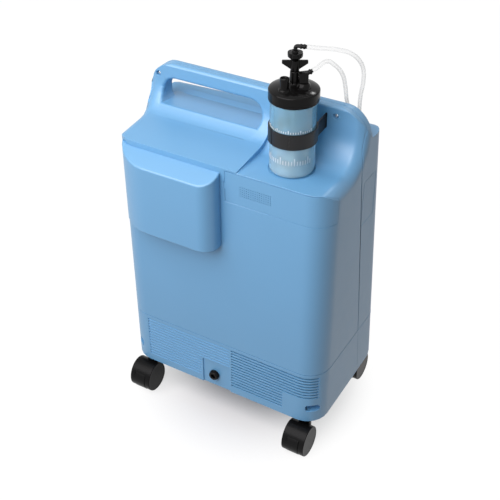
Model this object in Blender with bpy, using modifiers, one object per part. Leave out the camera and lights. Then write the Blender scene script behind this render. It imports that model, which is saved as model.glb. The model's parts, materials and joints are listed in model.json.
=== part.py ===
"""Home oxygen concentrator on four swivel casters, with a bubble humidifier strapped on top.

Metres, +Z up, the floor at z = 0. The rear face looks along -Y and the control front along +Y.
"""

import math

import bmesh
import bpy
from mathutils import Matrix, Vector

# Case
HALF_WIDTH = 0.1825
REAR_Y = -0.0918
FRONT_Y = 0.1333
FRONT_REF_Z = 0.091
FRONT_LEAN = 0.106
REAR_RADIUS = 0.038
FRONT_RADIUS = 0.030
BOTTOM_Z = 0.064
FLOOR_TOP_Z = 0.068
BASE_SEAM_Z = 0.165
CAVITY_TOP_Z = 0.4925
CAVITY_SIDE_Z = 0.4700
WALL = 0.003
GAP = 0.0004

# Carrying handle and top deck
HANDLE_REAR_Y = 0.0137
HANDLE_SEAM_Y = 0.0242
HANDLE_FRONT_Y = 0.0357
TOP_Z = 0.580
POD_Z = 0.532
PLATFORM_Z = 0.4975
DECK_Z = 0.4986
DECK_SLOPE = 0.094
TOP_FILLET = 0.045
SIDE_ROUND = 0.0188
STEP_X = 0.0355
SEAM_TOP = (0.0101, 0.490)
SEAM_SLOPE = 0.1238
HOLE_X = (-0.157, 0.017)
HOLE_Z = (0.5085, 0.5565)
HANDLE_SCREWS = ((-0.1655, 0.5605), (0.1344, 0.5650))

# Filter door and header panel on the rear face
DOOR_RIGHT_X = 0.0085
DOOR_LEFT_X = -0.1750
DOOR_DEPTH = 0.0305
DOOR_Z = (0.3625, 0.4918)
DOOR_TOP_SLOPE = 0.452
DOOR_SIDE_Y = -0.044
DOOR_WALL = 0.0025
HEADER_X = 0.0163
HEADER_Z = (0.4456, 0.4953)
HEADER_SIDE_Y = -0.0618
FILTER_X = (-0.1350, -0.0045)
FILTER_Z = (0.3745, 0.4765)

# Base grille
LOUVRE_COUNT = 14
LOUVRE_PITCH = 0.0059
LOUVRE_SLOT = 0.0030
LOUVRE_Z = 0.0785
RIB_PITCH = 0.0033
RIB_COUNT = 25
GLAND = (-0.0115, 0.0885)
POCKET = (0.1675, 0.0985)

# Casters
CASTER_X = 0.152
STEM_Y = {"rear": -0.0715, "front": 0.0930}
STEM_Z = (0.0578, 0.0880)
TRAIL = {"rear": -0.0222, "front": 0.0222}
WHEEL_R = 0.0256
WHEEL_X = (-0.0108, 0.0098)
CHEEKS = ((-0.0200, -0.0112), (0.0106, 0.0200))
CROWN_Z = (0.0545, 0.0625)

# Humidifier
BOTTLE = (0.0945, -0.0373)
JAR_R = 0.0325
JAR_Z = (0.4970, 0.6065)
LID_R = 0.0353
STRAP_X = (0.0695, 0.1195)
STRAP_Z = (0.5436, 0.5666)
FACING = math.radians(30)
ELBOW_TURN = math.radians(17)
SPOUT = (0.0118, -0.0080)
SPOUT_TILT = math.radians(33)
TUBE_R = 0.003
PORTS = ((0.1505, 0.0600), (0.1315, 0.0600))

# Control panel, in its own leaning frame
LEAN_ANGLE = math.atan(FRONT_LEAN)
PANEL_Z = 0.400
CONTROL_OPENINGS = (
    ((0.037, 0.059), (0.0205, 0.0495), (-0.02, 0.02)),
    ((-0.0165, 0.0165), (-0.0755, 0.0555), (-0.02, 0.02)),
)
OUTLET = (-0.048, -0.058)

# The middle of the unit's depth, from the filter door to the front wheels
CENTRE_Y = 0.00925


def front_y(z):
    return FRONT_Y - FRONT_LEAN * (z - FRONT_REF_Z)


def seam_y(z):
    return SEAM_TOP[0] + (SEAM_TOP[1] - z) * SEAM_SLOPE


# Scene set-up

for old in list(bpy.data.objects):
    bpy.data.objects.remove(old)
PARTS = bpy.data.collections.new("oxygen_concentrator")
HELPERS = bpy.data.collections.new("cutters")
bpy.context.scene.collection.children.link(PARTS)
bpy.context.scene.collection.children.link(HELPERS)


def material(name, color, roughness, metallic=0.0):
    made = bpy.data.materials.new(name)
    made.use_nodes = True
    shader = made.node_tree.nodes["Principled BSDF"]
    shader.inputs["Base Color"].default_value = (*color, 1)
    shader.inputs["Roughness"].default_value = roughness
    shader.inputs["Metallic"].default_value = metallic
    return made


BLUE = material("case_plastic", (0.20, 0.42, 0.70), 0.4)
BLACK = material("black_plastic", (0.02, 0.02, 0.022), 0.35)
TREAD = material("wheel_rubber", (0.03, 0.03, 0.032), 0.4)
STEEL = material("steel", (0.62, 0.63, 0.65), 0.3, 1.0)
ALUMINIUM = material("aluminium", (0.72, 0.73, 0.75), 0.4, 1.0)
CLEAR = material("clear_plastic", (0.80, 0.86, 0.92), 0.15)
WHITE = material("white_plastic", (0.80, 0.82, 0.85), 0.4)
TUBING = material("clear_tubing", (0.78, 0.84, 0.86), 0.25)
WEBBING = material("strap_webbing", (0.05, 0.06, 0.08), 0.9)
FOAM = material("filter_foam", (0.06, 0.06, 0.065), 0.95)
BOARD = material("board", (0.05, 0.22, 0.10), 0.5)
LENS = material("indicator", (0.10, 0.45, 0.16), 0.2)
CREAM = material("internal_plastic", (0.55, 0.55, 0.53), 0.6)


# Modelling helpers


def add(name, mesh, collection=HELPERS):
    obj = bpy.data.objects.new(name, mesh)
    collection.objects.link(obj)
    if collection is HELPERS:
        obj.hide_render = True
        obj.display_type = "WIRE"
    return obj


def welded(mesh):
    work = bmesh.new()
    work.from_mesh(mesh)
    bmesh.ops.remove_doubles(work, verts=work.verts, dist=1e-6)
    bmesh.ops.recalc_face_normals(work, faces=work.faces)
    work.to_mesh(mesh)
    work.free()
    return mesh


def baked(obj, name=None):
    """Turns a curve, or a mesh with modifiers, into a plain mesh object in the same place."""
    bpy.context.view_layer.update()
    graph = bpy.context.evaluated_depsgraph_get()
    mesh = welded(bpy.data.meshes.new_from_object(obj.evaluated_get(graph)))
    place = obj.matrix_world.copy()
    name = name or obj.name
    bpy.data.objects.remove(obj)
    result = add(name, mesh)
    result.matrix_world = place
    return result


def copy_of(obj, name):
    result = add(name, obj.data.copy())
    result.matrix_world = obj.matrix_world.copy()
    return result


def node(obj, name, look, origin=None):
    """Makes the object a named part with its material and, if it moves, its origin on the joint."""
    if origin is not None:
        obj.data.transform(Matrix.Translation(-Vector(origin)) @ obj.matrix_world)
        obj.matrix_world = Matrix.Translation(origin)
    HELPERS.objects.unlink(obj)
    PARTS.objects.link(obj)
    obj.name = name
    obj.hide_render = False
    obj.display_type = "TEXTURED"
    obj.data.materials.clear()
    obj.data.materials.append(look)
    return obj


def boolean(obj, other, operation):
    modifier = obj.modifiers.new(operation.title(), "BOOLEAN")
    modifier.operation = operation
    modifier.object = other
    return obj


def cut(obj, *others):
    for other in others:
        boolean(obj, other, "DIFFERENCE")
    return obj


def join(obj, *others):
    for other in others:
        boolean(obj, other, "UNION")
    return obj


def keep(obj, *others):
    for other in others:
        boolean(obj, other, "INTERSECT")
    return obj


def arc(centre, radius, start, end, steps):
    turn = (end - start) / steps
    return [
        (centre[0] + radius * math.cos(start + k * turn), centre[1] + radius * math.sin(start + k * turn))
        for k in range(steps + 1)
    ]


def circle(centre, radius, sides):
    return arc(centre, radius, 0, math.tau * (1 - 1 / sides), sides - 1)


def rounded(corners, steps=6):
    """The outline through (u, v, radius) corners, each radius an arc tangent to both sides."""
    outline = []
    for k, (u, v, radius) in enumerate(corners):
        here = Vector((u, v))
        if radius <= 0:
            outline.append((u, v))
            continue
        to_last = (Vector(corners[k - 1][:2]) - here).normalized()
        to_next = (Vector(corners[(k + 1) % len(corners)][:2]) - here).normalized()
        half = to_last.angle(to_next) / 2
        centre = here + (to_last + to_next).normalized() * radius / math.sin(half)
        first = here + to_last * radius / math.tan(half) - centre
        turn = (math.pi - 2 * half) * (1 if to_last.cross(to_next) < 0 else -1)
        start = math.atan2(first.y, first.x)
        outline += arc(centre, radius, start, start + turn, steps)
    return outline


def rectangle(u, v, radius=0.0, steps=4):
    return rounded(
        [(u[0], v[0], radius), (u[1], v[0], radius), (u[1], v[1], radius), (u[0], v[1], radius)], steps
    )


def hull(points):
    """The convex outline round 2D points."""
    points = sorted(set(points))
    sides = []
    for order in (points, points[::-1]):
        side = []
        for p in order:
            while len(side) > 1:
                a, b = side[-2], side[-1]
                if (b[0] - a[0]) * (p[1] - a[1]) - (b[1] - a[1]) * (p[0] - a[0]) > 0:
                    break
                side.pop()
            side.append(p)
        sides += side[:-1]
    return sides


AXES = {
    "X": Matrix(((0, 0, 1), (1, 0, 0), (0, 1, 0))).to_4x4(),
    "Y": Matrix(((1, 0, 0), (0, 0, -1), (0, 1, 0))).to_4x4(),
    "Z": Matrix.Identity(4),
}


def slab(outline, axis, low, high, name="slab", frame=None):
    """A flat outline given thickness along an axis: (y, z) for X, (x, z) for Y, (x, y) for Z."""
    flat = bpy.data.curves.new(name, "CURVE")
    flat.dimensions = "2D"
    flat.fill_mode = "BOTH"
    flat.extrude = (high - low) / 2
    line = flat.splines.new("POLY")
    line.points.add(len(outline) - 1)
    line.use_cyclic_u = True
    for point, (u, v) in zip(line.points, outline):
        point.co = (u, v, 0, 1)
    obj = add(name + "_outline", flat)
    middle = Vector([(low + high) / 2 if letter == axis else 0 for letter in "XYZ"])
    obj.matrix_world = Matrix.Translation(middle) @ AXES[axis]
    obj = baked(obj, name)
    return placed(obj, frame) if frame else placed(obj, Matrix.Identity(4))


def placed(obj, frame):
    obj.data.transform(frame @ obj.matrix_world)
    obj.matrix_world = Matrix.Identity(4)
    return obj


def boxes(spans, name="boxes", frame=None):
    """One mesh of blocks, each given by its (x, y, z) spans."""
    work = bmesh.new()
    for span in spans:
        size = Matrix.Diagonal([high - low for low, high in span]).to_4x4()
        middle = Matrix.Translation([(low + high) / 2 for low, high in span])
        bmesh.ops.create_cube(work, size=1, matrix=(frame or Matrix.Identity(4)) @ middle @ size)
    mesh = bpy.data.meshes.new(name)
    work.to_mesh(mesh)
    work.free()
    return add(name, mesh)


def rods(ends, radius, sides=16, name="rods", frame=None):
    """One mesh of straight round rods, each from a start point to an end point."""
    work = bmesh.new()
    for start, end in ends:
        start, end = Vector(start), Vector(end)
        turn = (end - start).to_track_quat("Z", "Y").to_matrix().to_4x4()
        matrix = (frame or Matrix.Identity(4)) @ Matrix.Translation((start + end) / 2) @ turn
        bmesh.ops.create_cone(
            work,
            cap_ends=True,
            segments=sides,
            radius1=radius,
            radius2=radius,
            depth=(end - start).length,
            matrix=matrix,
        )
    mesh = bpy.data.meshes.new(name)
    work.to_mesh(mesh)
    work.free()
    return add(name, mesh)


def turned(profile, frame, closed=False, steps=32, name="turned"):
    """A (radius, height) profile turned round the frame's Z. A closed profile leaves a bore."""
    work = bmesh.new()
    points = [work.verts.new((radius, 0, height)) for radius, height in profile]
    for a, b in zip(points, points[1:] + points[:1] if closed else points[1:]):
        work.edges.new((a, b))
    mesh = bpy.data.meshes.new(name)
    work.to_mesh(mesh)
    work.free()
    obj = add(name + "_profile", mesh)
    screw = obj.modifiers.new("Screw", "SCREW")
    screw.axis = "Z"
    screw.steps = screw.render_steps = steps
    screw.use_merge_vertices = True
    screw.merge_threshold = 0.00001
    return placed(baked(obj, name), frame)


def upright(x, y, z=0.0):
    return Matrix.Translation((x, y, z))


def pipe(points, radius, sides=2, name="pipe", smooth=True):
    """A round tube along points, with closed ends."""
    path = bpy.data.curves.new(name, "CURVE")
    path.dimensions = "3D"
    path.bevel_depth = radius
    path.bevel_resolution = sides
    path.resolution_u = 2
    path.use_fill_caps = True
    line = path.splines.new("BEZIER" if smooth else "POLY")
    if smooth:
        line.bezier_points.add(len(points) - 1)
        for knot, point in zip(line.bezier_points, points):
            knot.co = point
            knot.handle_left_type = knot.handle_right_type = "AUTO"
    else:
        line.points.add(len(points) - 1)
        for knot, point in zip(line.points, points):
            knot.co = (*point, 1)
    return baked(add(name + "_path", path), name)


# Case envelope


def plan(inset, low, high, name="plan"):
    """The case's plan outline, moved in by inset, with the front leaning back as it rises."""
    half, rear, front = HALF_WIDTH - inset, REAR_Y + inset, FRONT_Y - inset
    back_r, front_r = REAR_RADIUS - inset, FRONT_RADIUS - inset
    outline = rounded(
        [(-half, rear, back_r), (half, rear, back_r), (half, front, front_r), (-half, front, front_r)], 6
    )
    obj = slab(outline, "Z", low, high, name)
    for vertex in obj.data.vertices:
        if vertex.co.y > 0.05:
            vertex.co.y -= FRONT_LEAN * (vertex.co.z - FRONT_REF_Z)
    return obj


def rear_side(shift):
    """Everything behind the parting seam, moved forward by shift."""
    low, high = (seam_y(-0.05) + shift, -0.05), (SEAM_TOP[0] + shift, SEAM_TOP[1])
    top = HANDLE_SEAM_Y + shift
    return slab(
        [(-0.3, -0.05), low, high, (top, 0.548), (top, 0.7), (-0.3, 0.7)], "X", -0.3, 0.3, "rear_side"
    )


def side_half(head, low, high, name):
    """The case in side view, as wide as low to high, with its outer top edge rounded over."""
    outline = (
        [(REAR_Y - 0.01, BOTTOM_Z)]
        + head
        + [(HANDLE_REAR_Y, 0.64), (HANDLE_FRONT_Y, 0.64)]
        + arc((HANDLE_FRONT_Y + 0.010, POD_Z + 0.010), 0.010, math.pi, 1.5 * math.pi, 4)
        + [(0.0746, POD_Z), (0.0812, POD_Z - 0.002), (0.0858, POD_Z - 0.0066), (0.110, 0.478), (0.16, 0.47)]
        + [(0.16, 0.1177), (0.1063, BOTTOM_Z)]
    )
    obj = slab(outline, "X", low, high, name)
    work = bmesh.new()
    work.from_mesh(obj.data)
    bmesh.ops.dissolve_limit(work, angle_limit=0.001, verts=work.verts, edges=work.edges)
    top = [
        edge for edge in work.edges if all(
            abs(v.co.x) > HALF_WIDTH and v.co.z > 0.49 and v.co.y < HANDLE_REAR_Y
            + 1e-5
            for v in edge.verts
        )
    ]
    bmesh.ops.bevel(work, geom=top, offset=SIDE_ROUND, segments=4, profile=0.42, affect="EDGES")
    work.to_mesh(obj.data)
    work.free()
    return obj


def envelope():
    wall, start = HANDLE_REAR_Y, REAR_Y - 0.01
    deck = rounded(
        [(start, DECK_Z, 0), (wall, DECK_Z + DECK_SLOPE * (wall - start), TOP_FILLET), (wall, 0.7, 0)],
        7
    )[:-1]
    floor = rounded([(start, PLATFORM_Z, 0), (wall, PLATFORM_Z, TOP_FILLET), (wall, 0.7, 0)], 7)[:-1]
    edge = HALF_WIDTH + 0.0001
    sides = side_half(deck, -edge, STEP_X, "deck_side")
    join(sides, side_half(floor, STEP_X - 0.0005, edge, "platform_side"))
    corner = 0.0465
    front = (
        [(-0.25, 0.0), (0.25, 0.0), (0.25, 0.5)]
        + arc((HALF_WIDTH - 0.046, TOP_Z + 0.0002 - corner), corner, 0, math.pi / 2, 9)
        + arc((0.046 - HALF_WIDTH, TOP_Z + 0.0002 - corner), corner, math.pi / 2, math.pi, 9)
        + [(-0.25, 0.5)]
    )
    shape = plan(0, 0.03, 0.62, "envelope")
    keep(shape, baked(sides), slab(front, "Y", -0.3, 0.3, "front_outline"))
    bar = [(-0.3, -0.1), (0.3, -0.1), (0.3, 0.572)]
    bar += arc((HANDLE_FRONT_Y - 0.0048, TOP_Z - 0.005), 0.005, 0, math.pi / 2, 4)
    bar += arc((HANDLE_REAR_Y + 0.0048, TOP_Z - 0.005), 0.005, math.pi / 2, math.pi, 4)
    keep(shape, slab(bar + [(-0.3, 0.572)], "X", -0.3, 0.3, "handle_top"))
    hole = rectangle(HOLE_X, HOLE_Z, 0.0215, 6)
    cut(shape, slab(hole, "Y", -0.06, 0.06, "hand_hole"))
    shelf = [
        (0.0365, HOLE_Z[0] - 0.0003), (0.072, 0.5190), (0.0795, 0.5175), (0.0848, 0.512), (0.12, 0.46),
        (0.2, 0.46)
    ]
    cut(shape, slab(shelf + [(0.2, 0.62), (0.0365, 0.62)], "X", -0.25, 0.030, "front_shelf"))
    cut(shape, rods([((*BOTTLE, JAR_Z[0] - 0.0004), (*BOTTLE, 0.56))], 0.0336, 32, "bottle_seat"))
    return baked(shape)


def cavity():
    hollow = plan(WALL, 0.0, CAVITY_SIDE_Z, "cavity")
    upper = keep(
        plan(WALL + 0.0002, 0.40, CAVITY_TOP_Z),
        boxes([((-0.158, 0.158), (-0.3, 0.3), (0.3, 0.6))], "cavity_top")
    )
    join(hollow, baked(upper))
    chamfer = [(-0.3, -0.1), (0.0979 - 0.0641, 0.0), (0.16, 0.1219), (0.16, 0.6), (-0.3, 0.6)]
    return baked(keep(hollow, slab(chamfer, "X", -0.3, 0.3, "cavity_side")))


BODY = envelope()
HOLLOW = cavity()


# Shells


def header_region(grow):
    left, tab, low, high = HEADER_X - grow, 0.0134 - grow, HEADER_Z[0] - grow, HEADER_Z[1] + grow
    outline = [(left, low), (0.3, low), (0.3, high), (left, high)]
    outline += [(left, 0.4772 + grow), (tab, 0.4772 + grow), (tab, 0.4668 - grow), (left, 0.4668 - grow)]
    return slab(outline, "Y", -0.2, HEADER_SIDE_Y + grow, "header_region")


def build_shells():
    rear = keep(copy_of(BODY, "rear_shell"), rear_side(-0.00015))
    below = boxes([((-0.3, 0.3), (-0.3, 0.3), (0.0, BASE_SEAM_Z + GAP / 2))], "below_seam")
    cut(rear, below, HOLLOW)
    rebate = cut(plan(-0.002, 0.40, 0.53, "rebate"), plan(0.0020, 0.39, 0.54))
    cut(rear, baked(keep(rebate, header_region(GAP))))
    cut(rear, boxes([((0.040, 0.0915), (REAR_Y - 0.01, REAR_Y + 0.01), (0.4605, 0.478))], "sounder_window"))
    aperture = (
        (FILTER_X[0] - 0.0005, FILTER_X[1] + 0.0005), (-0.11, -0.08),
        (FILTER_Z[0] - 0.0005, FILTER_Z[1] + 0.0005)
    )
    cut(rear, boxes([aperture], "filter_aperture"))
    slots = [
        ((x - 0.0016, x + 0.0016), (0.005, 0.0205), (STRAP_Z[0] - 0.0008, STRAP_Z[1] + 0.0008))
        for x in STRAP_X
    ]
    cut(rear, boxes(slots, "strap_slots"))
    dimples = [((x, 0.005, z), (x, 0.0187, z)) for x, z in HANDLE_SCREWS]
    cut(rear, rods(dimples, 0.0042, 16, "screw_dimples"))
    node(rear, "rear_shell", BLUE)

    for side, (x, z) in zip(("left", "right"), HANDLE_SCREWS):
        frame = Matrix.Translation((x, 0.0184, z)) @ Matrix.Rotation(math.pi / 2, 4, "X")
        head = turned([(0, 0.002), (0.0026, 0.002), (0.0035, 0.0008), (0.0035, 0), (0, 0)], frame, steps=10)
        node(head, f"handle_screw_{side}", STEEL)

    front = cut(copy_of(BODY, "front_shell"), rear_side(0.00015), HOLLOW)
    plate = slab(
        rectangle((-0.0755, 0.0755), (-0.0985, 0.0685), 0.0104), "Z", -0.0014, 0.02, "plate_rebate",
        PANEL
    )
    cut(front, plate)
    cut(front, boxes(CONTROL_OPENINGS, "control_openings", PANEL))
    cut(front, rods([((*OUTLET, -0.02), (*OUTLET, 0.02))], 0.0046, 16, "outlet_hole", PANEL))
    cut(front, rods([((x, y, POD_Z - 0.0085), (x, y, 0.56)) for x, y in PORTS], 0.0045, 16, "port_holes"))
    side_plate = rectangle((0.0227, 0.0652), (0.390, 0.466), 0.002)
    cut(front, slab(side_plate, "X", HALF_WIDTH - 0.0004, 0.2, "side_plate"))
    line = (BASE_SEAM_Z - GAP / 2, BASE_SEAM_Z + GAP / 2)
    cut(front, baked(cut(plan(-0.002, *line, "seam_line"), plan(0.0006, line[0] - 0.01, line[1] + 0.01))))
    node(front, "front_shell", BLUE)

    ring = cut(plan(0, 0.40, 0.53, "header_panel"), plan(0.0016, 0.39, 0.54))
    panel = baked(keep(ring, header_region(0), BODY))
    dots = [(0.0415 + 0.0035 * column, 0.4622 + 0.0036 * row) for column in range(15) for row in range(5)]
    holes = rods(
        [((x, REAR_Y - 0.01, z), (x, REAR_Y + 0.01, z)) for x, z in dots], 0.0008, 4, "sounder_holes"
    )
    node(cut(panel, holes), "header_panel", BLUE)


def build_base():
    tray = keep(copy_of(BODY, "base_tray"), rear_side(-0.00015))
    cut(tray, boxes([((-0.3, 0.3), (-0.3, 0.3), (BASE_SEAM_Z - GAP / 2, 0.7))], "above_seam"))
    inner = cut(
        copy_of(HOLLOW, "tray_hollow"),
        boxes([((-0.3, 0.3), (-0.3, 0.3), (-0.1, FLOOR_TOP_Z))], "tray_floor")
    )
    cut(tray, baked(inner))
    floor = keep(
        plan(0.0037, 0.0645, 0.0679, "floor"),
        boxes([((-0.3, 0.3), (-0.05, 0.0996), (0, 0.2))], "floor_length")
    )
    join(tray, baked(floor))
    stems = [(x, y) for x in (-CASTER_X, CASTER_X) for y in STEM_Y.values()]
    join(
        tray,
        rods([((x, y, 0.066), (x, y, STEM_Z[1] + 0.005)) for x, y in stems], 0.0085, 16, "stem_bosses")
    )
    pads = [((-0.036, 0.021), (REAR_Y + 0.0028, REAR_Y + 0.0062), (0.0665, 0.120))]
    pads += [
        ((min(s * 0.152, s * 0.1805), max(s * 0.152, s * 0.1805)), (-0.082, -0.052), (0.0665, 0.112))
        for s in (-1, 1)
    ]
    corner_pads = keep(boxes(pads, "pads"), plan(0.001, 0.03, 0.3))
    join(tray, baked(corner_pads))
    cut(tray, rods([((x, y, 0.05), (x, y, STEM_Z[1] + 0.0015)) for x, y in stems], 0.0054, 16, "stem_bores"))

    ring = cut(plan(-0.002, 0.06, 0.17, "louvres"), plan(0.0048, 0.05, 0.18))
    rows = []
    for k in range(LOUVRE_COUNT):
        low = LOUVRE_Z + k * LOUVRE_PITCH
        right = 0.118 if low < 0.111 else 0.3
        rows.append(((0.0215, right), (-0.2, -0.0755), (low, low + LOUVRE_SLOT)))
    cut(tray, baked(keep(ring, boxes(rows, "louvre_rows"))))

    ribs = []
    for k in range(RIB_COUNT):
        low = 0.0795 + k * RIB_PITCH
        right = -0.0365 if low < 0.1185 else 0.0190
        ribs.append(((-0.143, right), (REAR_Y - 0.01, REAR_Y + 0.0007), (low, low + 0.0013)))
    cut(tray, boxes(ribs, "rib_grooves"))
    cut(tray, boxes([((-0.034, 0.0195), (REAR_Y - 0.01, REAR_Y + 0.002), (0.06, 0.1165))], "gland_recess"))
    x, z = GLAND
    cut(tray, rods([((x, -0.2, z), (x, REAR_Y + 0.02, z))], 0.0075, 20, "gland_hole"))
    for side, s in (("left", -1), ("right", 1)):
        px, pz = s * POCKET[0], POCKET[1]
        outline = rounded([(px - 0.0095, pz - 0.0045, 0.003), (px + 0.0095, pz - 0.0045, 0.003),
                           (px + 0.0095, pz + 0.0045, 0.0043), (px - 0.0095, pz + 0.0045, 0.0043)], 3)
        cut(tray, slab(outline, "Y", -0.2, -0.0665, "screw_pocket"))
        frame = Matrix.Translation((px, -0.0669, pz)) @ Matrix.Rotation(math.pi / 2, 4, "X")
        head = turned([(0, 0.0025), (0.0028, 0.0025), (0.0038, 0.001), (0.0038, 0), (0, 0)], frame, steps=10)
        node(head, f"base_screw_{side}", STEEL)
    node(tray, "base_tray", BLUE)

    frame = Matrix.Translation((x, REAR_Y + 0.002, z)) @ Matrix.Rotation(math.pi / 2, 4, "X")
    profile = [(0.0042, 0.0075), (0.0068, 0.0075), (0.0086, 0.0058), (0.0090, 0.0003), (0.0071, 0.0003),
               (0.0071, -0.0075), (0.0042, -0.0075)]
    node(turned(profile, frame, closed=True, steps=16), "cord_gland", BLACK)


def door_solid(inset, name):
    """The filter door's box, or its hollow when moved in."""
    right, left = DOOR_RIGHT_X - inset, DOOR_LEFT_X + inset
    back = REAR_Y - DOOR_DEPTH + inset
    outline = rounded([(right, DOOR_SIDE_Y - inset, 0), (right, back, 0.024 - inset),
                       (left, back, 0.068 - inset), (left, DOOR_SIDE_Y - inset, 0)], 8)
    box = slab(outline, "Z", 0.30, 0.56, name)
    top = DOOR_Z[1] - inset
    rise = DOOR_TOP_SLOPE * (REAR_Y + 0.2)
    side = [
        (-0.2, DOOR_Z[0] + inset - 0.003), (0.0, DOOR_Z[0] + inset + 0.0035),
        (0.0, top - DOOR_TOP_SLOPE * REAR_Y), (-0.2, top - rise)
    ]
    return baked(keep(box, slab(side, "X", -0.3, 0.3, "door_side")))


def build_door():
    door = door_solid(0, "filter_door")
    cut(door, plan(-GAP, 0.2, 0.62, "case_side"), door_solid(DOOR_WALL, "door_hollow"))
    cut(door, rods([((-0.19, -0.080, 0.4885), (-0.168, -0.080, 0.4885))], 0.0075, 16, "finger_notch"))
    node(door, "filter_door", BLUE, (DOOR_RIGHT_X, REAR_Y - GAP, 0.43))

    x, z = FILTER_X, FILTER_Z
    outer = ((x[0] - 0.003, x[1] + 0.003), (REAR_Y + WALL + 0.0004, -0.0445), (z[0] - 0.003, z[1] + 0.003))
    inner = ((x[0] - 0.0006, x[1] + 0.0006), (-0.2, -0.0468), (z[0] - 0.0006, z[1] + 0.0006))
    housing = cut(boxes([outer], "housing"), boxes([inner], "housing_hollow"))
    cut(housing, rods([((-0.06, -0.06, 0.425), (-0.06, -0.03, 0.425))], 0.012, 20, "intake_hole"))
    trim = baked(keep(housing, plan(WALL + GAP, 0.2, CAVITY_TOP_Z, "housing_trim")))
    node(trim, "filter_housing", CREAM)
    foam = slab(rectangle((x[0], x[1]), (z[0], z[1]), 0.004), "Y", -0.1125, -0.0475, "foam")
    node(foam, "intake_filter", FOAM)


# Controls on the leaning front

PANEL = Matrix.Translation((0, front_y(PANEL_Z), PANEL_Z)) @ Matrix(
    (
        (-1, 0, 0),
        (0, -math.sin(LEAN_ANGLE), math.cos(LEAN_ANGLE)),
        (0, math.cos(LEAN_ANGLE), math.sin(LEAN_ANGLE)),
    )
).to_4x4()


def build_controls():
    plate = slab(rectangle((-0.075, 0.075), (-0.098, 0.068), 0.010), "Z", -0.0010, 0.0008, "plate", PANEL)
    cut(plate, boxes(CONTROL_OPENINGS, "plate_openings", PANEL))
    cut(plate, rods([((*OUTLET, -0.02), (*OUTLET, 0.02))], 0.0046, 16, "outlet_window", PANEL))
    node(plate, "control_plate", WHITE)

    body = slab(rectangle((-0.016, 0.016), (-0.075, 0.055), 0.004), "Z", -0.0105, 0.0125, "flowmeter", PANEL)
    cut(body, rods([((0, -0.032, 0.0013), (0, 0.07, 0.0013))], 0.0046, 16, "float_bore", PANEL))
    node(body, "flowmeter_body", CLEAR)
    start = Vector((0, -0.0275, 0.0013))
    ball = turned(
        arc((0, 0), 0.0038, math.pi / 2, -math.pi / 2, 6), PANEL @ Matrix.Translation(start), steps=10
    )
    node(ball, "flowmeter_ball", STEEL, PANEL @ start)
    grip = PANEL @ Matrix.Translation((0, -0.055, 0.0129))
    profile = [(0, 0.013), (0.0095, 0.013), (0.0108, 0.0118), (0.0115, 0.002), (0.0105, 0), (0, 0)]
    knob = turned(profile, grip, steps=21)
    cut(
        knob,
        rods(
            [
                (
                    (0.0135 * math.cos(t), 0.0135 * math.sin(t), 0.003),
                    (0.0135 * math.cos(t), 0.0135 * math.sin(t), 0.03)
                ) for t in (k * math.tau / 7 for k in range(7))
            ],
            0.0034, 8, "knob_flutes", grip
        )
    )
    node(knob, "flow_knob", BLACK, grip @ Vector((0, 0, 0.0075)))

    pivot = PANEL @ Matrix.Translation((0.048, 0.035, -0.0015))
    tilt = pivot @ Matrix.Rotation(math.radians(-8), 4, "X")
    side = [(-0.0125, -0.0055), (0.0125, -0.0055), (0.0130, 0.0062), (0, 0.0036), (-0.0130, 0.0062)]
    node(slab(side, "X", -0.0095, 0.0095, "rocker", tilt), "power_rocker", BLACK, pivot.translation)

    meter = slab(rectangle((0.033, 0.063), (-0.022, -0.002), 0.002), "Z", 0.0012, 0.0060, "hour_meter", PANEL)
    cut(meter, boxes([((0.036, 0.060), (-0.018, -0.006), (0.0050, 0.02))], "meter_window", PANEL))
    node(meter, "hour_meter", BLACK)
    lens = slab(rectangle((-0.054, -0.042), (0.010, 0.055), 0.004), "Z", 0.0012, 0.0036, "lens", PANEL)
    node(lens, "indicator_lens", LENS)

    barb = [
        (0, 0.024), (0.0018, 0.024), (0.0036, 0.0195), (0.0028, 0.0193), (0.0036, 0.0150),
        (0.0028, 0.0148), (0.0028, 0.009), (0.0075, 0.009), (0.0080, 0.008), (0.0080, 0.0012),
        (0.0042, 0.0012), (0.0042, -0.006), (0, -0.006)
    ]
    outlet = PANEL @ Matrix.Translation((*OUTLET, 0))
    node(turned(barb, outlet, steps=8), "cannula_outlet", ALUMINIUM)
    for name, (x, y) in zip(("oxygen_outlet", "return_port"), PORTS):
        port = [
            (0, 0.0100), (0.0026, 0.0100), (0.0030, 0.0040), (0.0070, 0.0038), (0.0074, 0.003),
            (0.0074, 0.0004), (0.0041, 0.0004), (0.0041, -0.008), (0, -0.008)
        ]
        node(turned(port, upright(x, y, POD_Z), steps=10), name, WHITE)


# Humidifier


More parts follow.
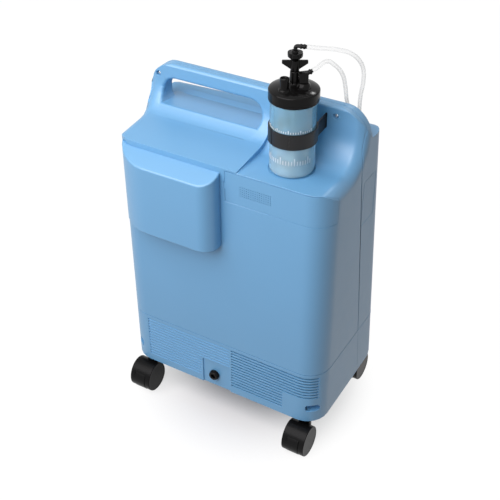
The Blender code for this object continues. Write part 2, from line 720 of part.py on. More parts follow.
def build_humidifier():
    axis = upright(*BOTTLE)
    r, low, high = JAR_R, *JAR_Z
    jar = [(r, high), (r, low + 0.004), (r - 0.0012, low + 0.001), (r - 0.004, low), (0, low + 0.0012),
           (0, low + 0.0030), (r - 0.005, low + 0.0022), (r - 0.0018, low + 0.0055), (r - 0.0018, high)]
    node(turned(jar, axis, closed=True, steps=20), "humidifier_jar", CLEAR)
    lid = [
        (0.0064, 0.6455), (0.0066, 0.6290), (0.0110, 0.6270), (0.0270, 0.6240), (0.0335, 0.6215),
        (LID_R, 0.6185), (LID_R, 0.6050), (0.0330, 0.6050), (0.0330, 0.6072), (0.0300, 0.6076),
        (0.0300, 0.6205), (0.0038, 0.6235), (0.0038, 0.6455)
    ]
    facing = axis @ Matrix.Rotation(FACING, 4, "Z")
    cap = turned(lid, axis, closed=True, steps=20)
    seat = facing @ Matrix.Translation((*SPOUT, 0))
    boss = turned(
        [(0, 0.6325), (0.0072, 0.6325), (0.0098, 0.6290), (0.0098, 0.6225), (0, 0.6225)], seat, steps=16
    )
    post = facing @ Matrix.Translation((-0.0140, -0.0160, 0))
    pad = turned(
        [(0, 0.6272), (0.0072, 0.6272), (0.0078, 0.6264), (0.0078, 0.6218), (0, 0.6218)], post, steps=14
    )
    node(join(cap, boss, pad), "humidifier_lid", BLACK)

    relief = [
        (0, 0.6412), (0.0044, 0.6412), (0.0046, 0.6425), (0.0060, 0.6425), (0.0064, 0.6418),
        (0.0064, 0.6385), (0.0061, 0.6380), (0.0061, 0.6275), (0, 0.6275)
    ]
    node(turned(relief, post, steps=14), "relief_valve", BLACK)

    block = rounded(
        [
            (-0.0062, -0.0046, 0.0012), (0.0062, -0.0046, 0.0012), (0.0062, 0.0046, 0.0012),
            (-0.0062, 0.0046, 0.0012)
        ],
        2
    )
    spout = slab(block, "Z", 0.6328, 0.6500, "spout", seat)
    top = slab(
        [(-0.02, 0.62), (0.02, 0.62), (0.02, 0.6495), (-0.02, 0.6445)], "Y", -0.02, 0.02, "spout_top",
        seat
    )
    keep(spout, top)
    mouth = Vector((0.0020, 0, 0.6435))
    reach = Vector((math.cos(SPOUT_TILT), 0, math.sin(SPOUT_TILT)))
    join(spout, rods([(mouth, mouth + reach * 0.0110)], 0.0026, 12, "nozzle", seat))
    join(spout, rods([(mouth + reach * 0.0062, mouth + reach * 0.0088)], 0.0037, 12, "nozzle_ring", seat))
    node(spout, "outlet_spout", BLACK)

    hub = [(0.0054, 0.6608), (0.0058, 0.6600), (0.0060, 0.6465), (0.0042, 0.6465), (0.0042, 0.6608)]
    wings = turned(hub, axis, True, 16)
    flat = [
        (0.0050, 0.6474), (0.0166, 0.6556), (0.0174, 0.6566), (0.0174, 0.6596), (0.0165, 0.6606),
        (0.0050, 0.6606)
    ]
    for s in (-1, 1):
        outline = [(s * u, v) for u, v in flat]
        join(wings, slab(outline, "Y", -0.0017, 0.0017, "wing", facing))
    node(wings, "wing_nut", BLACK, (*BOTTLE, 0.654))

    neck = [
        (0.0046, 0.6745), (0.0048, 0.6722), (0.0098, 0.6720), (0.0104, 0.6712), (0.0104, 0.6668),
        (0.0096, 0.6656), (0.0052, 0.6614), (0.0037, 0.6612), (0.0037, 0.6475), (0.0027, 0.6475),
        (0.0027, 0.6700), (0.0034, 0.6706), (0.0034, 0.6745)
    ]
    nut = turned(neck, axis, True, 12)
    around = [(0.0126 * math.cos(t), 0.0126 * math.sin(t)) for t in (k * math.tau / 6 for k in range(6))]
    node(
        cut(
            nut,
            rods([((x, y, 0.660), (x, y, 0.690)) for x, y in around], 0.0036, 8, "nut_flutes", facing)
        ),
        "collar_nut", BLACK
    )

    heading = axis @ Matrix.Rotation(ELBOW_TURN, 4, "Z")
    bend = [(0, 0, 0.6711), (0, 0, 0.6775)] + [
        (0.0030 - 0.0030 * math.cos(t), 0, 0.6775 + 0.0028 * math.sin(t))
        for t in (math.pi / 6, math.pi / 3, math.pi / 2)
    ] + [(0.0150, 0, 0.6803)]
    elbow = placed(pipe(bend, 0.0028, 2, "elbow", smooth=False), heading)
    barbs = [((u, 0, 0.6803), (u + 0.0026, 0, 0.6803)) for u in (0.0062, 0.0104)]
    node(join(elbow, rods(barbs, 0.0034, 10, "barbs", heading)), "inlet_elbow", BLACK)

    dip = [
        (0.0024, 0.6455), (0.0024, 0.5180), (0.0060, 0.5170), (0.0060, 0.5040), (0.0012, 0.5030),
        (0.0012, 0.6455)
    ]
    node(turned(dip, axis, True, 10), "dip_tube", WHITE)
    build_strap()
    tip_point = heading @ Vector((0.0153, 0, 0.6803))
    build_tubes(
        tip_point, heading.to_3x3() @ Vector((1, 0, 0)), seat @ (mouth + reach * 0.0113),
        seat.to_3x3() @ reach
    )


def band(angles, radius, thickness):
    inner = arc(BOTTLE, radius, *angles, 15)
    outer = arc(BOTTLE, radius + thickness, *angles, 15)
    return inner, outer


def build_strap():
    inner_r, thick = JAR_R + 0.0005, 0.0018
    wall_end = 0.0188
    start, stop = math.radians(143), math.radians(397)
    inner, outer = band((start, stop), inner_r, thick)
    left, right = STRAP_X
    tail = HANDLE_REAR_Y - 0.004
    outline = [(left - thick / 2, wall_end), (left - thick / 2, tail)] + outer + [
        (right + thick / 2, tail), (right + thick / 2, wall_end)
    ]
    outline += [
        (right - thick / 2, wall_end), (right - thick / 2, tail)
    ] + inner[::-1] + [(left + thick / 2, tail), (left + thick / 2, wall_end)]
    strap = slab(outline, "Z", *STRAP_Z, "strap")
    over_in, over_out = band((math.radians(289), math.radians(352)), inner_r + thick - 0.0004, 0.0016)
    patch = slab(over_out + over_in[::-1], "Z", STRAP_Z[0] + 0.0006, STRAP_Z[1] - 0.0006, "strap_end")
    node(join(strap, patch), "bottle_strap", WEBBING)


def build_tubes(tip_point, heading, mouth, along):
    x, y = PORTS[0]
    supply = [
        tip_point, tip_point + heading * 0.012, (0.1484, -0.0180, 0.6798), (0.1600, -0.0085, 0.6735),
        (0.1672, 0.0040, 0.6610), (0.1692, 0.0165, 0.6430), (0.1665, 0.0265, 0.6205),
        (0.1600, 0.0370, 0.5950), (0.1545, 0.0490, 0.5720), (x, y, POD_Z + 0.0220),
        (x, y, POD_Z + 0.0105)
    ]
    node(pipe(supply, TUBE_R, 2, "supply"), "supply_tube", TUBING)
    x, y = PORTS[1]
    back = [
        mouth, mouth + along * 0.005, (0.1300, -0.0150, 0.6580), (0.1370, -0.0045, 0.6500),
        (0.1420, 0.0090, 0.6340), (0.1415, 0.0235, 0.6105), (0.1378, 0.0395, 0.5830),
        (0.1340, 0.0540, 0.5650), (x, y, POD_Z + 0.0200), (x, y, POD_Z + 0.0105)
    ]
    node(pipe(back, TUBE_R, 2, "return"), "return_tube", TUBING)


# Casters


def build_caster(end, side, x):
    prefix, stem_y = f"{end}_{side}", STEM_Y[end]
    axle_y = stem_y + TRAIL[end]
    block = [(stem_y + v, z) for v in (-0.0105, 0.0105) for z in CROWN_Z]
    outline = hull(circle((axle_y, WHEEL_R), WHEEL_R - 0.0005, 20) + block)
    fork, other = [slab(outline, "X", x + near, x + far, "fork") for near, far in CHEEKS]
    span = (x + CHEEKS[0][0] + 0.001, x + CHEEKS[1][1] - 0.001)
    crown = keep(
        slab(outline, "X", *span, "crown"),
        boxes([(span, (-0.3, 0.3), (CROWN_Z[0], 0.08))], "crown_height")
    )
    axle = rods([((x - 0.0155, axle_y, WHEEL_R), (x + 0.0155, axle_y, WHEEL_R))], 0.003, 12, "axle")
    join(fork, baked(crown), other, axle)
    cut(fork, rods([((x, stem_y, 0.05), (x, stem_y, 0.07))], 0.0053, 12, "stem_socket"))
    node(fork, f"{prefix}_fork", BLACK, (x, stem_y, CROWN_Z[1]))
    low, high = STEM_Z
    stem = [(0, high), (0.0040, high), (0.0050, high - 0.001), (0.0050, low), (0, low)]
    node(turned(stem, upright(x, stem_y), steps=12), f"{prefix}_stem", STEEL)
    sides = 20
    rim = WHEEL_R / math.cos(math.pi / sides)
    left, right = WHEEL_X
    tyre = [
        (0.0034, right), (rim - 0.0012, right), (rim, right - 0.0012), (rim, left + 0.0012),
        (rim - 0.0012, left), (0.0034, left)
    ]
    turn = Matrix.Rotation(math.pi / 2, 4, "Y") @ Matrix.Rotation(math.pi / sides, 4, "Z")
    wheel = turned(tyre, Matrix.Translation((x, axle_y, WHEEL_R)) @ turn, True, sides)
    node(wheel, f"{prefix}_wheel", TREAD, (x, axle_y, WHEEL_R))


# Works inside the case


def build_works():
    x0, y0, z0 = -0.030, 0.020, 0.140
    turn = Matrix.Translation((x0, y0, z0)) @ Matrix.Rotation(math.pi / 2, 4, "Y")
    motor = turned(
        [(0, 0.050), (0.036, 0.050), (0.043, 0.044), (0.043, -0.044), (0.036, -0.050), (0, -0.050)],
        turn, steps=18
    )
    join(motor, boxes([((x0 - 0.045, x0 + 0.045), (y0 - 0.042, y0 + 0.042), (0.084, 0.104))], "motor_base"))
    feet = [
        ((x0 + a * 0.034, y0 + b * 0.032, 0.0684), (x0 + a * 0.034, y0 + b * 0.032, 0.086))
        for a in (-1, 1)
        for b in (-1, 1)
    ]
    node(join(motor, rods(feet, 0.008, 8, "motor_feet")), "compressor_motor", ALUMINIUM)
    for side, s in (("left", -1), ("right", 1)):
        a, b = sorted((x0 + s * 0.0504, x0 + s * 0.082))
        head = boxes([((a, b), (y0 - 0.032, y0 + 0.032), (z0 - 0.036, z0 + 0.050))], "head")
        fins = [
            (
                (a - 0.01, b + 0.01), (y0 - 0.2, y0 - 0.022),
                (z0 - 0.028 + k * 0.014, z0 - 0.020 + k * 0.014)
            ) for k in range(5)
        ]
        fins += [
            (
                (a - 0.01, b + 0.01), (y0 + 0.022, y0 + 0.2),
                (z0 - 0.028 + k * 0.014, z0 - 0.020 + k * 0.014)
            ) for k in range(5)
        ]
        node(cut(head, boxes(fins, "head_fins")), f"compressor_head_{side}", ALUMINIUM)

    fx, fy = 0.062, 0.015
    shelf = plan(0.0070, 0.2350, 0.2380, "partition")
    cut(shelf, rods([((fx, fy, 0.2), (fx, fy, 0.3))], 0.042, 20, "fan_opening"))
    node(baked(shelf), "partition", CREAM)
    frame = slab(
        rectangle((fx - 0.048, fx + 0.048), (fy - 0.048, fy + 0.048), 0.006), "Z", 0.2384, 0.2634,
        "fan_frame"
    )
    cut(frame, rods([((fx, fy, 0.2), (fx, fy, 0.3))], 0.0445, 20, "fan_bore"))
    strut_x = boxes([((fx - 0.046, fx + 0.046), (fy - 0.003, fy + 0.003), (0.2384, 0.2414))], "strut_x")
    strut_y = boxes([((fx - 0.003, fx + 0.003), (fy - 0.046, fy + 0.046), (0.2386, 0.2412))], "strut_y")
    node(join(frame, strut_x, strut_y), "fan_frame", BLACK)
    rotor = turned(
        [(0, 0.2600), (0.0150, 0.2600), (0.0160, 0.2590), (0.0160, 0.2420), (0, 0.2420)],
        upright(fx, fy), steps=14
    )
    for k in range(7):
        spin = upright(fx, fy, 0.251) @ Matrix.Rotation(
            k * math.tau / 7, 4, "Z"
        ) @ Matrix.Rotation(math.radians(35), 4, "X")
        join(rotor, boxes([((0.0140, 0.0425), (-0.0105, 0.0105), (-0.0007, 0.0007))], "blade", spin))
    node(rotor, "fan_rotor", BLACK, (fx, fy, 0.251))

    for side, x in (("left", -0.130), ("right", -0.048)):
        bed = [
            (0, 0.4700), (0.0370, 0.4700), (0.0385, 0.4680), (0.0385, 0.4560), (0.0350, 0.4550),
            (0.0350, 0.2560), (0.0385, 0.2550), (0.0385, 0.2400), (0.0370, 0.2385), (0, 0.2385)
        ]
        node(turned(bed, upright(x, 0.040), steps=14), f"sieve_bed_{side}", ALUMINIUM)
    tank = [(0, 0.4480), (0.0200, 0.4460), (0.0280, 0.4380), (0.0280, 0.2480), (0.0200, 0.2395), (0, 0.2385)]
    node(turned(tank, upright(0.146, 0.045), steps=16), "product_tank", WHITE)
    node(
        boxes([((-0.150, -0.012), (0.010, 0.066), (0.4705, 0.4885))], "manifold"), "valve_manifold",
        ALUMINIUM
    )
    turns, points = 3, []
    for k in range(turns * 10 + 1):
        t = k * math.tau / 10
        points.append((fx + 0.034 * math.cos(t), fy + 0.034 * math.sin(t), 0.2705 + 0.0085 * k / 10))
    node(pipe(points, 0.003, 1, "coil", smooth=False), "heat_exchanger", ALUMINIUM)
    lying = Matrix.Translation((0.118, 0.010, 0.0985)) @ Matrix.Rotation(math.pi / 2, 4, "X")
    can = [(0, 0.045), (0.020, 0.045), (0.025, 0.040), (0.025, -0.040), (0.020, -0.045), (0, -0.045)]
    node(turned(can, lying, steps=16), "exhaust_muffler", BLACK)
    board = boxes([((0.010, 0.105), (0.0715, 0.0733), (0.300, 0.450))], "board")
    chips = [
        ((0.020, 0.050), (0.0520, 0.0720), (0.390, 0.430)),
        ((0.062, 0.095), (0.0600, 0.0720), (0.330, 0.350))
    ]
    node(join(board, boxes(chips, "chips")), "circuit_board", BOARD)


build_shells()
build_base()
build_door()
build_controls()
build_humidifier()
for tag, side_x in (("left", -CASTER_X), ("right", CASTER_X)):
    build_caster("rear", tag, side_x)
    build_caster("front", tag, side_x)
build_works()
for each in (*PARTS.objects, *HELPERS.objects):
    each.location.y -= CENTRE_Y
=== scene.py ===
"""Looks of a home oxygen concentrator with a bubble humidifier, built round its CAD frame."""

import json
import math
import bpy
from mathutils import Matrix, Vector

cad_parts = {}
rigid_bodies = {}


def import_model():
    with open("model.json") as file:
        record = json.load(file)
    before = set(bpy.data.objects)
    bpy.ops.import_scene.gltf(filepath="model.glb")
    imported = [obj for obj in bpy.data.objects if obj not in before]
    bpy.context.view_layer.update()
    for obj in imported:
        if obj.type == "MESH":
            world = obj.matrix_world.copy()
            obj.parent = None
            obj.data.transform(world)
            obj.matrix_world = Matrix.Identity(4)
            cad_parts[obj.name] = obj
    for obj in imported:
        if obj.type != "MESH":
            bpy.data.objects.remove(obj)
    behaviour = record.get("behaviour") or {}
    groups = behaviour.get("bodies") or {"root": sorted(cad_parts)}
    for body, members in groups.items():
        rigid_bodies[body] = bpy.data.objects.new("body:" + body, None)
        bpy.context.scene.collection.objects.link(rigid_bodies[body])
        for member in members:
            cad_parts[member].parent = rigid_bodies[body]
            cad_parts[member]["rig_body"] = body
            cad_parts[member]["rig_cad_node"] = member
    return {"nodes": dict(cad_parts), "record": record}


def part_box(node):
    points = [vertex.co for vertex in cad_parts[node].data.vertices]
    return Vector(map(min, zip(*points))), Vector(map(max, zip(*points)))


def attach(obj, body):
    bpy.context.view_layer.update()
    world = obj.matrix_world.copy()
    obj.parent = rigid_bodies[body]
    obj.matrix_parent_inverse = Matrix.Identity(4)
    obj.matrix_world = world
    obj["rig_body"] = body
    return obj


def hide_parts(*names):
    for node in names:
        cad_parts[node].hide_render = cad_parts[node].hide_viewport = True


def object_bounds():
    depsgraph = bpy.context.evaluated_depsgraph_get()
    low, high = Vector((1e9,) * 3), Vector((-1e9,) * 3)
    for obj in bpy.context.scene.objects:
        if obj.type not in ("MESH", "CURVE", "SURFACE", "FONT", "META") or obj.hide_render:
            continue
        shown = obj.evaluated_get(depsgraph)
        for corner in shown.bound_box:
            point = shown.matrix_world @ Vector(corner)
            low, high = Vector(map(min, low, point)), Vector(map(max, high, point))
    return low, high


bl_info = {
    "name": "Oxygen Concentrator",
    "version": (1, 0, 0),
    "blender": (4, 5, 0),
    "location": "3D View > Sidebar > Concentrator",
    "description": "Dresses the oxygen concentrator's CAD frame with finished pieces on a studio stage",
    "category": "Object",
}

import bmesh
import bpy
from bpy.props import FloatProperty, FloatVectorProperty, PointerProperty
from mathutils import Matrix, Vector

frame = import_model()
CAD_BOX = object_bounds()
JAR_LOW, JAR_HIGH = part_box("humidifier_jar")
BOTTLE = Vector(((JAR_LOW.x + JAR_HIGH.x) / 2, (JAR_LOW.y + JAR_HIGH.y) / 2, 0))
JAR_RADIUS = JAR_HIGH.x - BOTTLE.x
CORNERS = [f"{end}_{side}" for end in ("front", "rear") for side in ("left", "right")]

# The case, in metres. CENTRE_Y is the middle of the whole unit on the case's own y axis
CENTRE_Y = 0.00925
WALL_Y = 0.0137 - CENTRE_Y
REAR_Y = -0.0918 - CENTRE_Y
PLATFORM_X = 0.0305
DECK_Z, DECK_SLOPE = 0.4986, 0.094
FILLET, FILLET_Z, FILLET_STEPS = 0.045, 0.5504, 7
LEG_ROUND, LEG_EDGE, LEG_SKIN, LEG_FADE = 0.0188, 0.0050, 0.0012, (0.15, 0.95)
HOLE_X = (-0.157, 0.017)
HOLE_Z, HOLE_TOP, HOLE_ROUND = 0.5085, 0.5565, 0.0215
LIP_ROUND, LIP_FALL, LIP_MARGIN, LIP_FACETS = 0.0060, 0.0025, 0.0030, 3
LIP_Y, LIP_Z, LIP_PROUD = (WALL_Y - 0.0280, WALL_Y + 0.0400), HOLE_Z - 0.0007, 0.00005
SHELF_Y = (WALL_Y + 0.0222, WALL_Y + 0.0463)
SHELF_LOW, SHELF_FOOT, SHELF_TOP = 0.5020, 0.5155, 0.5200
SHELF_LIFT, SHELF_RUN, SHELF_FADE = 0.0080, 0.0350, (-0.168, -0.138)
SEAM_Y, SEAM_Z, SEAM_RISE, SEAM_LEAN = WALL_Y - 0.0036, 0.490, 0.058, 0.2431
TOUCH = 0.0003
POCKET_X, POCKET_Z = 0.1675, 0.0985
POCKET_REACH = (0.0098, 0.0047)
POCKET_DROP, POCKET_STRETCH = 0.0060, 1.45
DOT_FIRST, DOT_PITCH, DOT_COUNT = Vector((0.0415, 0, 0.4622)), Vector((0.0035, 0, 0.0036)), (15, 1, 5)
DOT_REACH, DOT_GROWTH = 0.0010, 1.25
ROW_Z, ROW_PITCH, ROW_TALL, ROWS = 0.0785, 0.0059, 0.0030, 14
RIB_X, RIB_DEPTH, RIB_Z = (-0.1435, 0.0193), 0.0008, 0.0790
GROOVE_X, GROOVE_DEPTH = (-0.1430, 0.0190), 0.0009
NOTCH_X, NOTCH_DEPTH = -0.1408, 0.0020
GLAND_SIDE, GLAND_CLEAR = -0.0365, 0.1200

# The casters, the humidifier and the strap, in metres and degrees
WHEEL_BORE, STEM_BORE, AXLE_RADIUS, AXLE_HALF = 0.0034, 0.0053, 0.003, 0.0150
FITTINGS_TURN = 30
NECK_TOP, NECK_BORE = 0.6455, 0.0038
STRAP_GAP, STRAP_THICK = 0.0005, 0.0018
STRAP_X, STRAP_TAIL = (0.0695, 0.1195), 0.0091
STRAP_TURNS, FOLD_TURN, FLAP_TURNS = (143, 397), 240, (289, 352)

# The control front and the stage, in metres
SCALE_FOOT, SCALE_PITCH, SCALE_TICKS, SCALE_OUT = -0.0275, 0.0022, 26, 0.01255
DIGIT_FIRST, DIGIT_PITCH, DIGIT_OUT, POINTER_OUT = 0.0385, 0.0047, 0.00506, 0.02593
CAMERA_AIM = Vector((-0.0008, -0.00015, 0.2887))
LAMP_AIM = Vector((0, -0.05, 0.3))
SENSOR_MM = 36
FLOOR_SIZE, SHADOW_SPAN = 40, (0.04, 0.24)


# Settings


def size(name, description, default):
    """A length that a user may change."""
    return FloatProperty(
        name=name, description=description, default=default, min=0, subtype="DISTANCE", unit="LENGTH"
    )


def colour(name, description, default):
    """A colour that a user may change."""
    return FloatVectorProperty(
        name=name, description=description, default=default, min=0, max=1, subtype="COLOR"
    )


def turn(name, description, degrees):
    """An angle that a user may change."""
    return FloatProperty(name=name, description=description, default=math.radians(degrees), subtype="ANGLE")


def number(name, description, default, low=0):
    """A plain number that a user may change."""
    return FloatProperty(name=name, description=description, default=default, min=low)


class CaseSettings(bpy.types.PropertyGroup):
    plastic: colour("Case plastic", "Plastic of the shells, the base and the door", (0.142, 0.38, 0.645))
    shell_edge: size("Shell edge", "Rounding on the edges of the two shells", 0.0009)
    hole_edge: size("Hand hole edge", "Rounding on the rear rim of the hand hole", 0.0050)
    door_edge: size("Door edge", "Rounding on the edges of the filter door", 0.0024)
    base_edge: size("Base edge", "Rounding on the edges of the base tray and its louvres", 0.0002)
    panel_edge: size("Panel edge", "Rounding on the edges of the header panel", 0.0003)


class BottleSettings(bpy.types.PropertyGroup):
    lid: colour("Lid plastic", "Gloss plastic of the lid and the fittings on it", (0.005, 0.0048, 0.0048))
    jar: colour("Jar plastic", "Translucent plastic of the jar", (0.68, 0.89, 0.98))
    # Painted shade: the jar's colour darkened towards the top, where the lid shades it
    jar_lid_shade: colour("Jar top", "The same plastic in the shade of the lid", (0.46, 0.76, 0.90))
    strap: colour("Strap", "Strap round the jar", (0.012, 0.012, 0.013))


class CasterSettings(bpy.types.PropertyGroup):
    tread_edge: size("Tread edge", "Rounding on the edges of the wheels", 0.0008)
    fork_edge: size("Fork edge", "Rounding round the outside of the forks", 0.0012)
    crown: size("Crown", "Height of the socket that the stem stands in", 0.0080)
    neck: size("Neck", "Radius of the round neck that the stem stands in", 0.0100)
    hood: number("Hood", "Stretch of the fork above the wheel's middle", 1.18, 1)
    clearance: size("Clearance", "Gap between the wheel and the hood over it", 0.0010)
    rim: size("Fork rim", "Width of the rim round a fork's dished side", 0.0030)
    dish: size("Fork dish", "Depth of the dish in a fork's side", 0.0006)


class TubeSettings(bpy.types.PropertyGroup):
    diameter: size("Tube diameter", "Outside diameter of the oxygen tubing", 0.0060)
    wall: size("Tube wall", "Wall of the oxygen tubing", 0.0010)


class StageSettings(bpy.types.PropertyGroup):
    azimuth: turn("Azimuth", "Camera's turn round the unit", 30.08)
    elevation: turn("Elevation", "Camera's height angle", 35.98)
    distance: size("Distance", "Camera's distance from its target", 1.4845)
    lens: number("Lens", "Focal length on a 36 mm sensor, in millimetres", 65.585, 1)
    floor: colour("Floor", "Studio floor", (0.80, 0.80, 0.80))
    floor_glow: number("Floor glow", "Light that the floor shows of its own", 0.04)
    key: number("Key light", "Power of the lamp from the rear left, in watts", 31.0)
    top: number("Top light", "Power of the lamp from above, in watts", 1.5)
    warmth: colour("Key colour", "Colour of the lamp from the rear left", (1.0, 0.965, 0.985))
    rim: number("Rim light", "Power of the small lamp behind, in watts", 1.2)
    fill: number("Fill", "Strength of the light from all round", 0.15)


# Modelling helpers


def cleared():
    """Leaves object mode on, with nothing selected."""
    if bpy.context.mode != "OBJECT":
        bpy.ops.object.mode_set(mode="OBJECT")
    bpy.ops.object.select_all(action="DESELECT")


def alone(obj):
    """Leaves object mode on, with only this object selected and active."""
    cleared()
    obj.select_set(True)
    bpy.context.view_layer.objects.active = obj
    return obj


def editing(obj, kind="VERT", action="DESELECT"):
    """Opens a mesh in edit mode with none of it selected, or all of it."""
    alone(obj)
    bpy.ops.object.mode_set(mode="EDIT")
    bpy.ops.mesh.select_mode(type=kind)
    bpy.ops.mesh.select_all(action=action)


def everything():
    """Selects all of the mesh in edit mode."""
    bpy.ops.mesh.select_all(action="SELECT")


def choose(obj, test, kind="faces"):
    """Selects the faces, edges or verts of a mesh in edit mode that pass the test."""
    shape = bmesh.from_edit_mesh(obj.data)
    for element in getattr(shape, kind):
        element.select = bool(test(element))
    shape.select_flush_mode()
    bmesh.update_edit_mesh(obj.data)


def shaped(obj, kind, **settings):
    """Adds a modifier and applies it."""
    alone(obj)
    modifier = obj.modifiers.new(kind.title(), kind)
    for key, value in settings.items():
        setattr(modifier, key, value)
    bpy.ops.object.modifier_apply(modifier=modifier.name)
    return obj


def eased(obj, width, angle=32):
    """Rounds the edges that are sharper than the angle."""
    limit = {"limit_method": "ANGLE", "angle_limit": math.radians(angle)}
    return shaped(obj, "BEVEL", width=width, segments=2, use_clamp_overlap=False, **limit)


def softened(obj, width, test, angle=32, segments=2):
    """Rounds the sharp edges of a piece that pass the test."""
    editing(obj, "EDGE")
    limit = math.radians(angle)
    choose(obj, lambda e: e.is_manifold and e.calc_face_angle() > limit and test(e), "edges")
    bpy.ops.mesh.bevel(offset=width, segments=segments, affect="EDGES", clamp_overlap=False)
    alone(obj)


def reshaped(obj, rule):
    """Moves each vertex of a mesh to the place that the rule gives, and merges those that meet."""
    editing(obj, action="SELECT")
    shape = bmesh.from_edit_mesh(obj.data)
    for vertex in shape.verts:
        vertex.co = rule(vertex.co.copy())
    bmesh.update_edit_mesh(obj.data)
    bpy.ops.mesh.remove_doubles(threshold=0.00002)
    bpy.ops.mesh.dissolve_degenerate(threshold=0.00001)
    alone(obj)


def eased_in(value, low, high):
    """A smooth step from 0 at low to 1 at high."""
    t = min(1.0, max(0.0, (value - low) / (high - low)))
    return t * t * (3 - 2 * t)


def plain(obj, angle=0.6):
    """Merges faces that lie in one plane."""
    editing(obj, action="SELECT")
    bpy.ops.mesh.dissolve_limited(angle_limit=math.radians(angle))
    return alone(obj)


def copied(node):
    """A copy of a CAD node with its triangles merged into whole faces."""
    alone(frame["nodes"][node])
    bpy.ops.object.duplicate()
    obj = bpy.context.object
    obj.parent = None
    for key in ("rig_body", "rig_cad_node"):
        del obj[key]
    editing(obj, action="SELECT")
    bpy.ops.mesh.customdata_custom_splitnormals_clear()
    bpy.ops.mesh.remove_doubles(threshold=0.00001)
    return plain(obj)


def dressed(obj, name, body, look, slot, *nodes, angle=35, weighted=True):
    """Names, smooths and paints a finished piece, rides it on its body and hides what it stands for."""
    alone(obj)
    obj.name = obj.data.name = name
    bpy.ops.object.transform_apply(location=True, rotation=True, scale=True)
    bpy.ops.object.shade_smooth_by_angle(angle=math.radians(angle))
    if weighted:
        shaped(obj, "WEIGHTED_NORMAL", keep_sharp=True)
    obj.data.materials.clear()
    obj.data.materials.append(LOOKS[look])
    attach(obj, body)
    if nodes:
        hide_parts(*nodes)


def pulled(step):
    """Extrudes what is selected by a step."""
    bpy.ops.mesh.extrude_region_move(TRANSFORM_OT_translate={"value": step})


def drawn(name, points):
    """A line of edges through the points, drawn by extruding a plane merged to one point."""
    cleared()
    bpy.ops.mesh.primitive_plane_add(size=0.01, location=(0, 0, 0))
    obj = bpy.context.object
    obj.name = name
    editing(obj, action="SELECT")
    bpy.ops.mesh.merge(type="CENTER")
    bpy.ops.transform.translate(value=points[0])
    for a, b in zip(points, points[1:]):
        pulled(Vector(b) - Vector(a))
    return obj


def at(x, y, z):
    return Matrix.Translation((x, y, z))


def spun(degrees, axis):
    return Matrix.Rotation(math.radians(degrees), 4, axis)


def bow(centre, radius, start, end, steps=6):
    """Points of a round stretch of a profile, from one angle in degrees to another."""
    turns = (math.radians(start + (end - start) * k / steps) for k in range(steps + 1))
    return [(centre[0] + radius * math.cos(t), centre[1] + radius * math.sin(t)) for t in turns]


def set_down(obj, place):
    """Puts a piece made at the origin in its place, and leaves the place in its mesh."""
    alone(obj)
    obj.matrix_world = place @ obj.matrix_world
    bpy.ops.object.transform_apply(location=True, rotation=True, scale=True)
    return obj


def turned(name, profile, place, steps=48):
    """A (radius, height) profile drawn and spun round the upright axis of its place."""
    obj = drawn(name, [(radius, 0, height) for radius, height in profile])
    everything()
    bpy.ops.mesh.spin(steps=steps, angle=math.tau, center=(0, 0, 0), axis=(0, 0, 1))
    everything()
    bpy.ops.mesh.remove_doubles(threshold=0.000002)
    bpy.ops.mesh.normals_make_consistent(inside=False)
    return set_down(obj, place)


def plate(name, outline, thickness, place):
    """A flat outline of (x, z) points, given thickness along y about its middle."""
    obj = drawn(name, [(u, -thickness / 2, v) for u, v in outline])
    everything()
    bpy.ops.mesh.edge_face_add()
    pulled((0, thickness, 0))
    everything()
    bpy.ops.mesh.normals_make_consistent(inside=False)
    return set_down(obj, place)


def brick(name, size, place):
    """A block of a size, centred on its place."""
    cleared()
    bpy.ops.mesh.primitive_cube_add(size=1, location=(0, 0, 0), scale=size)
    obj = bpy.context.object
    obj.name = name
    return set_down(obj, place)


def combined(obj, others, operation):
    """Adds other solids to a piece, or cuts them from it, and removes them."""
    for other in others:
        shaped(obj, "BOOLEAN", object=other, operation=operation)
        bpy.data.objects.remove(other)
    return obj


def merged(pieces):
    """One object of several pieces, each still a closed shape."""
    alone(pieces[0])
    for piece in pieces:
        piece.select_set(True)
    bpy.ops.object.join()
    return pieces[0]


def rod(radius, half):
    """The profile of a plain round rod about its middle."""
    return [(0, half), (radius, half), (radius, -half), (0, -half)]


def middle(node):
    low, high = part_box(node)
    return (low + high) / 2


def control_frame():
    """The control plate's own frame: along it to the right, up it, and out of it."""
    axes = {joint["name"]: joint["axis"] for joint in frame["record"]["behaviour"]["joints"]}
    out, up = Vector(axes["flow_knob_turn"]), Vector(axes["flowmeter_ball_rise"])
    facing = Matrix((Vector((-1, 0, 0)), up, out)).transposed().to_4x4()
    return Matrix.Translation(middle("control_plate") + up * 0.015 + out * 0.0001) @ facing


PANEL = control_frame()


def on_panel(across, up, out):
    """A place on the control plate, squared to it."""
    return PANEL @ at(across, up, out)


# Materials

BLACK = (0.005, 0.005, 0.0053)
STREAK_DEPTH = 0.00006


class Socket:
    """An output of a material's nodes. Arithmetic on it adds Math nodes."""

    def __init__(self, finish, link):
        self.finish, self.link = finish, link

    def maths(self, operation, *values):
        return self.finish.add("ShaderNodeMath", {"operation": operation}, dict(enumerate(values)))

    def __add__(self, other):
        return self.maths("ADD", self, other)

    def __mul__(self, other):
        return self.maths("MULTIPLY", self, other)

    __radd__, __rmul__ = __add__, __mul__


